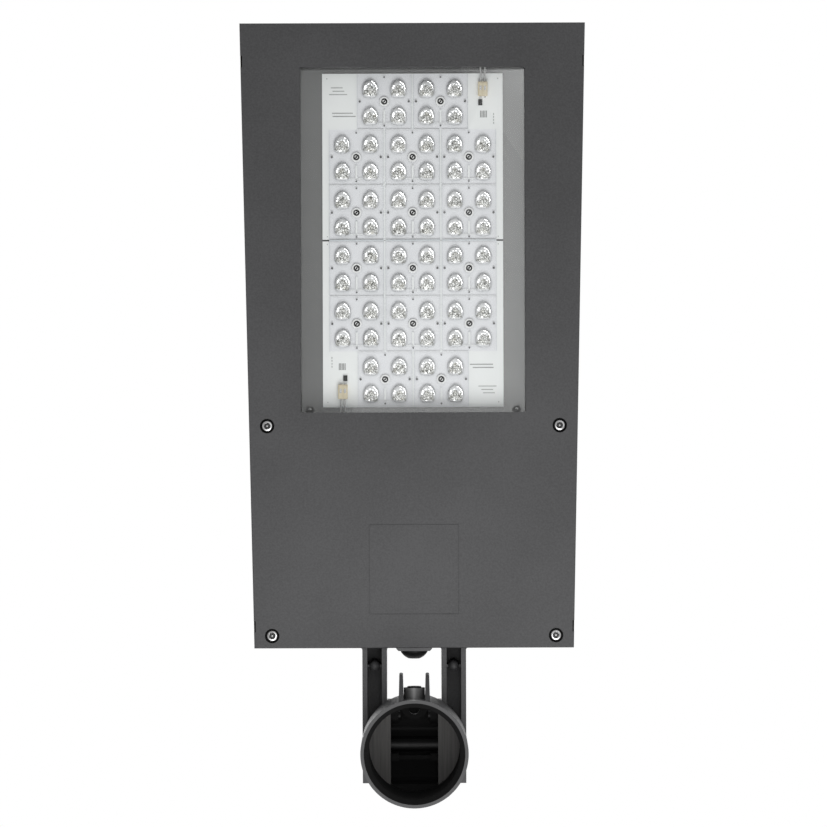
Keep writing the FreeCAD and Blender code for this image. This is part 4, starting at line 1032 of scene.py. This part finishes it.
def surroundings():
    """A white background whose light is dimmer from below, and even in reflections."""
    world = bpy.data.worlds.new("surroundings")
    world.use_nodes = True
    bpy.context.scene.world = world
    tree = world.node_tree
    path = tree.nodes.new("ShaderNodeLightPath")
    seen = maths(tree, "MAXIMUM", path.outputs["Is Camera Ray"], path.outputs["Is Transmission Ray"])
    source = tree.nodes.new("ShaderNodeTexCoord")
    height = axes(tree, source.outputs["Generated"])["Z"]
    light = span(tree, height, -0.9, 0.1, 0.18, 1.0)
    plain = blend(tree, path.outputs["Is Glossy Ray"], 0.50, light, "FLOAT")
    background = tree.nodes["Background"]
    tree.links.new(blend(tree, seen, plain, 1.0, "FLOAT"), background.inputs["Strength"])
    background.inputs["Color"].default_value = (1, 1, 1, 1)


def lamp(name, place, target, size, power):
    """A square lamp that isn't seen itself."""
    data = bpy.data.lights.new(name, "AREA")
    data.shape = "RECTANGLE"
    data.size, data.size_y = size, size
    data.energy = power
    obj = bpy.data.objects.new(name, data)
    bpy.context.scene.collection.objects.link(obj)
    obj.location = place
    obj.rotation_euler = (Vector(target) - Vector(place)).to_track_quat("-Z", "Y").to_euler()
    obj.visible_camera = False


def glowing_card(name, corners, z, strength):
    """A level white card that is seen only in reflections."""
    mesh = bpy.data.meshes.new(name)
    mesh.from_pydata([(x, y, z) for x, y in corners], [], [tuple(range(len(corners)))])
    material, tree = new_material(name)
    tree.nodes.remove(principled(tree))
    emission = tree.nodes.new("ShaderNodeEmission")
    emission.inputs["Strength"].default_value = strength
    tree.links.new(emission.outputs[0], tree.nodes["Material Output"].inputs["Surface"])
    mesh.materials.append(material)
    obj = bpy.data.objects.new(name, mesh)
    bpy.context.scene.collection.objects.link(obj)
    obj.visible_camera = False
    obj.visible_diffuse = False
    obj.visible_transmission = False
    obj.visible_shadow = False


def floor(half, z):
    """The pale ground, below the camera."""
    mesh = bpy.data.meshes.new("floor")
    corners = [(-half, -half, z), (half, -half, z), (half, half, z), (-half, half, z)]
    mesh.from_pydata(corners, [], [(0, 1, 2, 3)])
    material, tree = new_material("floor_paper")
    shader = principled(tree)
    shader.inputs["Base Color"].default_value = (0.90, 0.90, 0.90, 1)
    shader.inputs["Roughness"].default_value = 0.9
    mesh.materials.append(material)
    obj = bpy.data.objects.new("floor", mesh)
    bpy.context.scene.collection.objects.link(obj)


surroundings()
lamp("key", (-0.10, -0.72, -1.30), (0.0, 0.26, 0.08), size=1.0, power=11.2)
lamp("fill", (-0.9, 0.9, -2.2), (0.0, 0.30, 0.08), size=1.6, power=4.4)
lamp("top", (0.6, 0.2, 2.6), (0.0, 0.30, 0.10), size=2.0, power=14.0)
lamp("front", (-0.02, 0.02, -0.75), (0.0, 0.06, 0.05), size=0.16, power=0.9)
CARD = ((-0.148, 0.915), (0.117, 0.280), (-0.240, 0.280), (-0.240, 0.915))
glowing_card("card", CARD, camera_z - 0.02, strength=1.15)
floor(half=14.0, z=-5.6)

bpy.context.scene.view_settings.view_transform = "Standard"
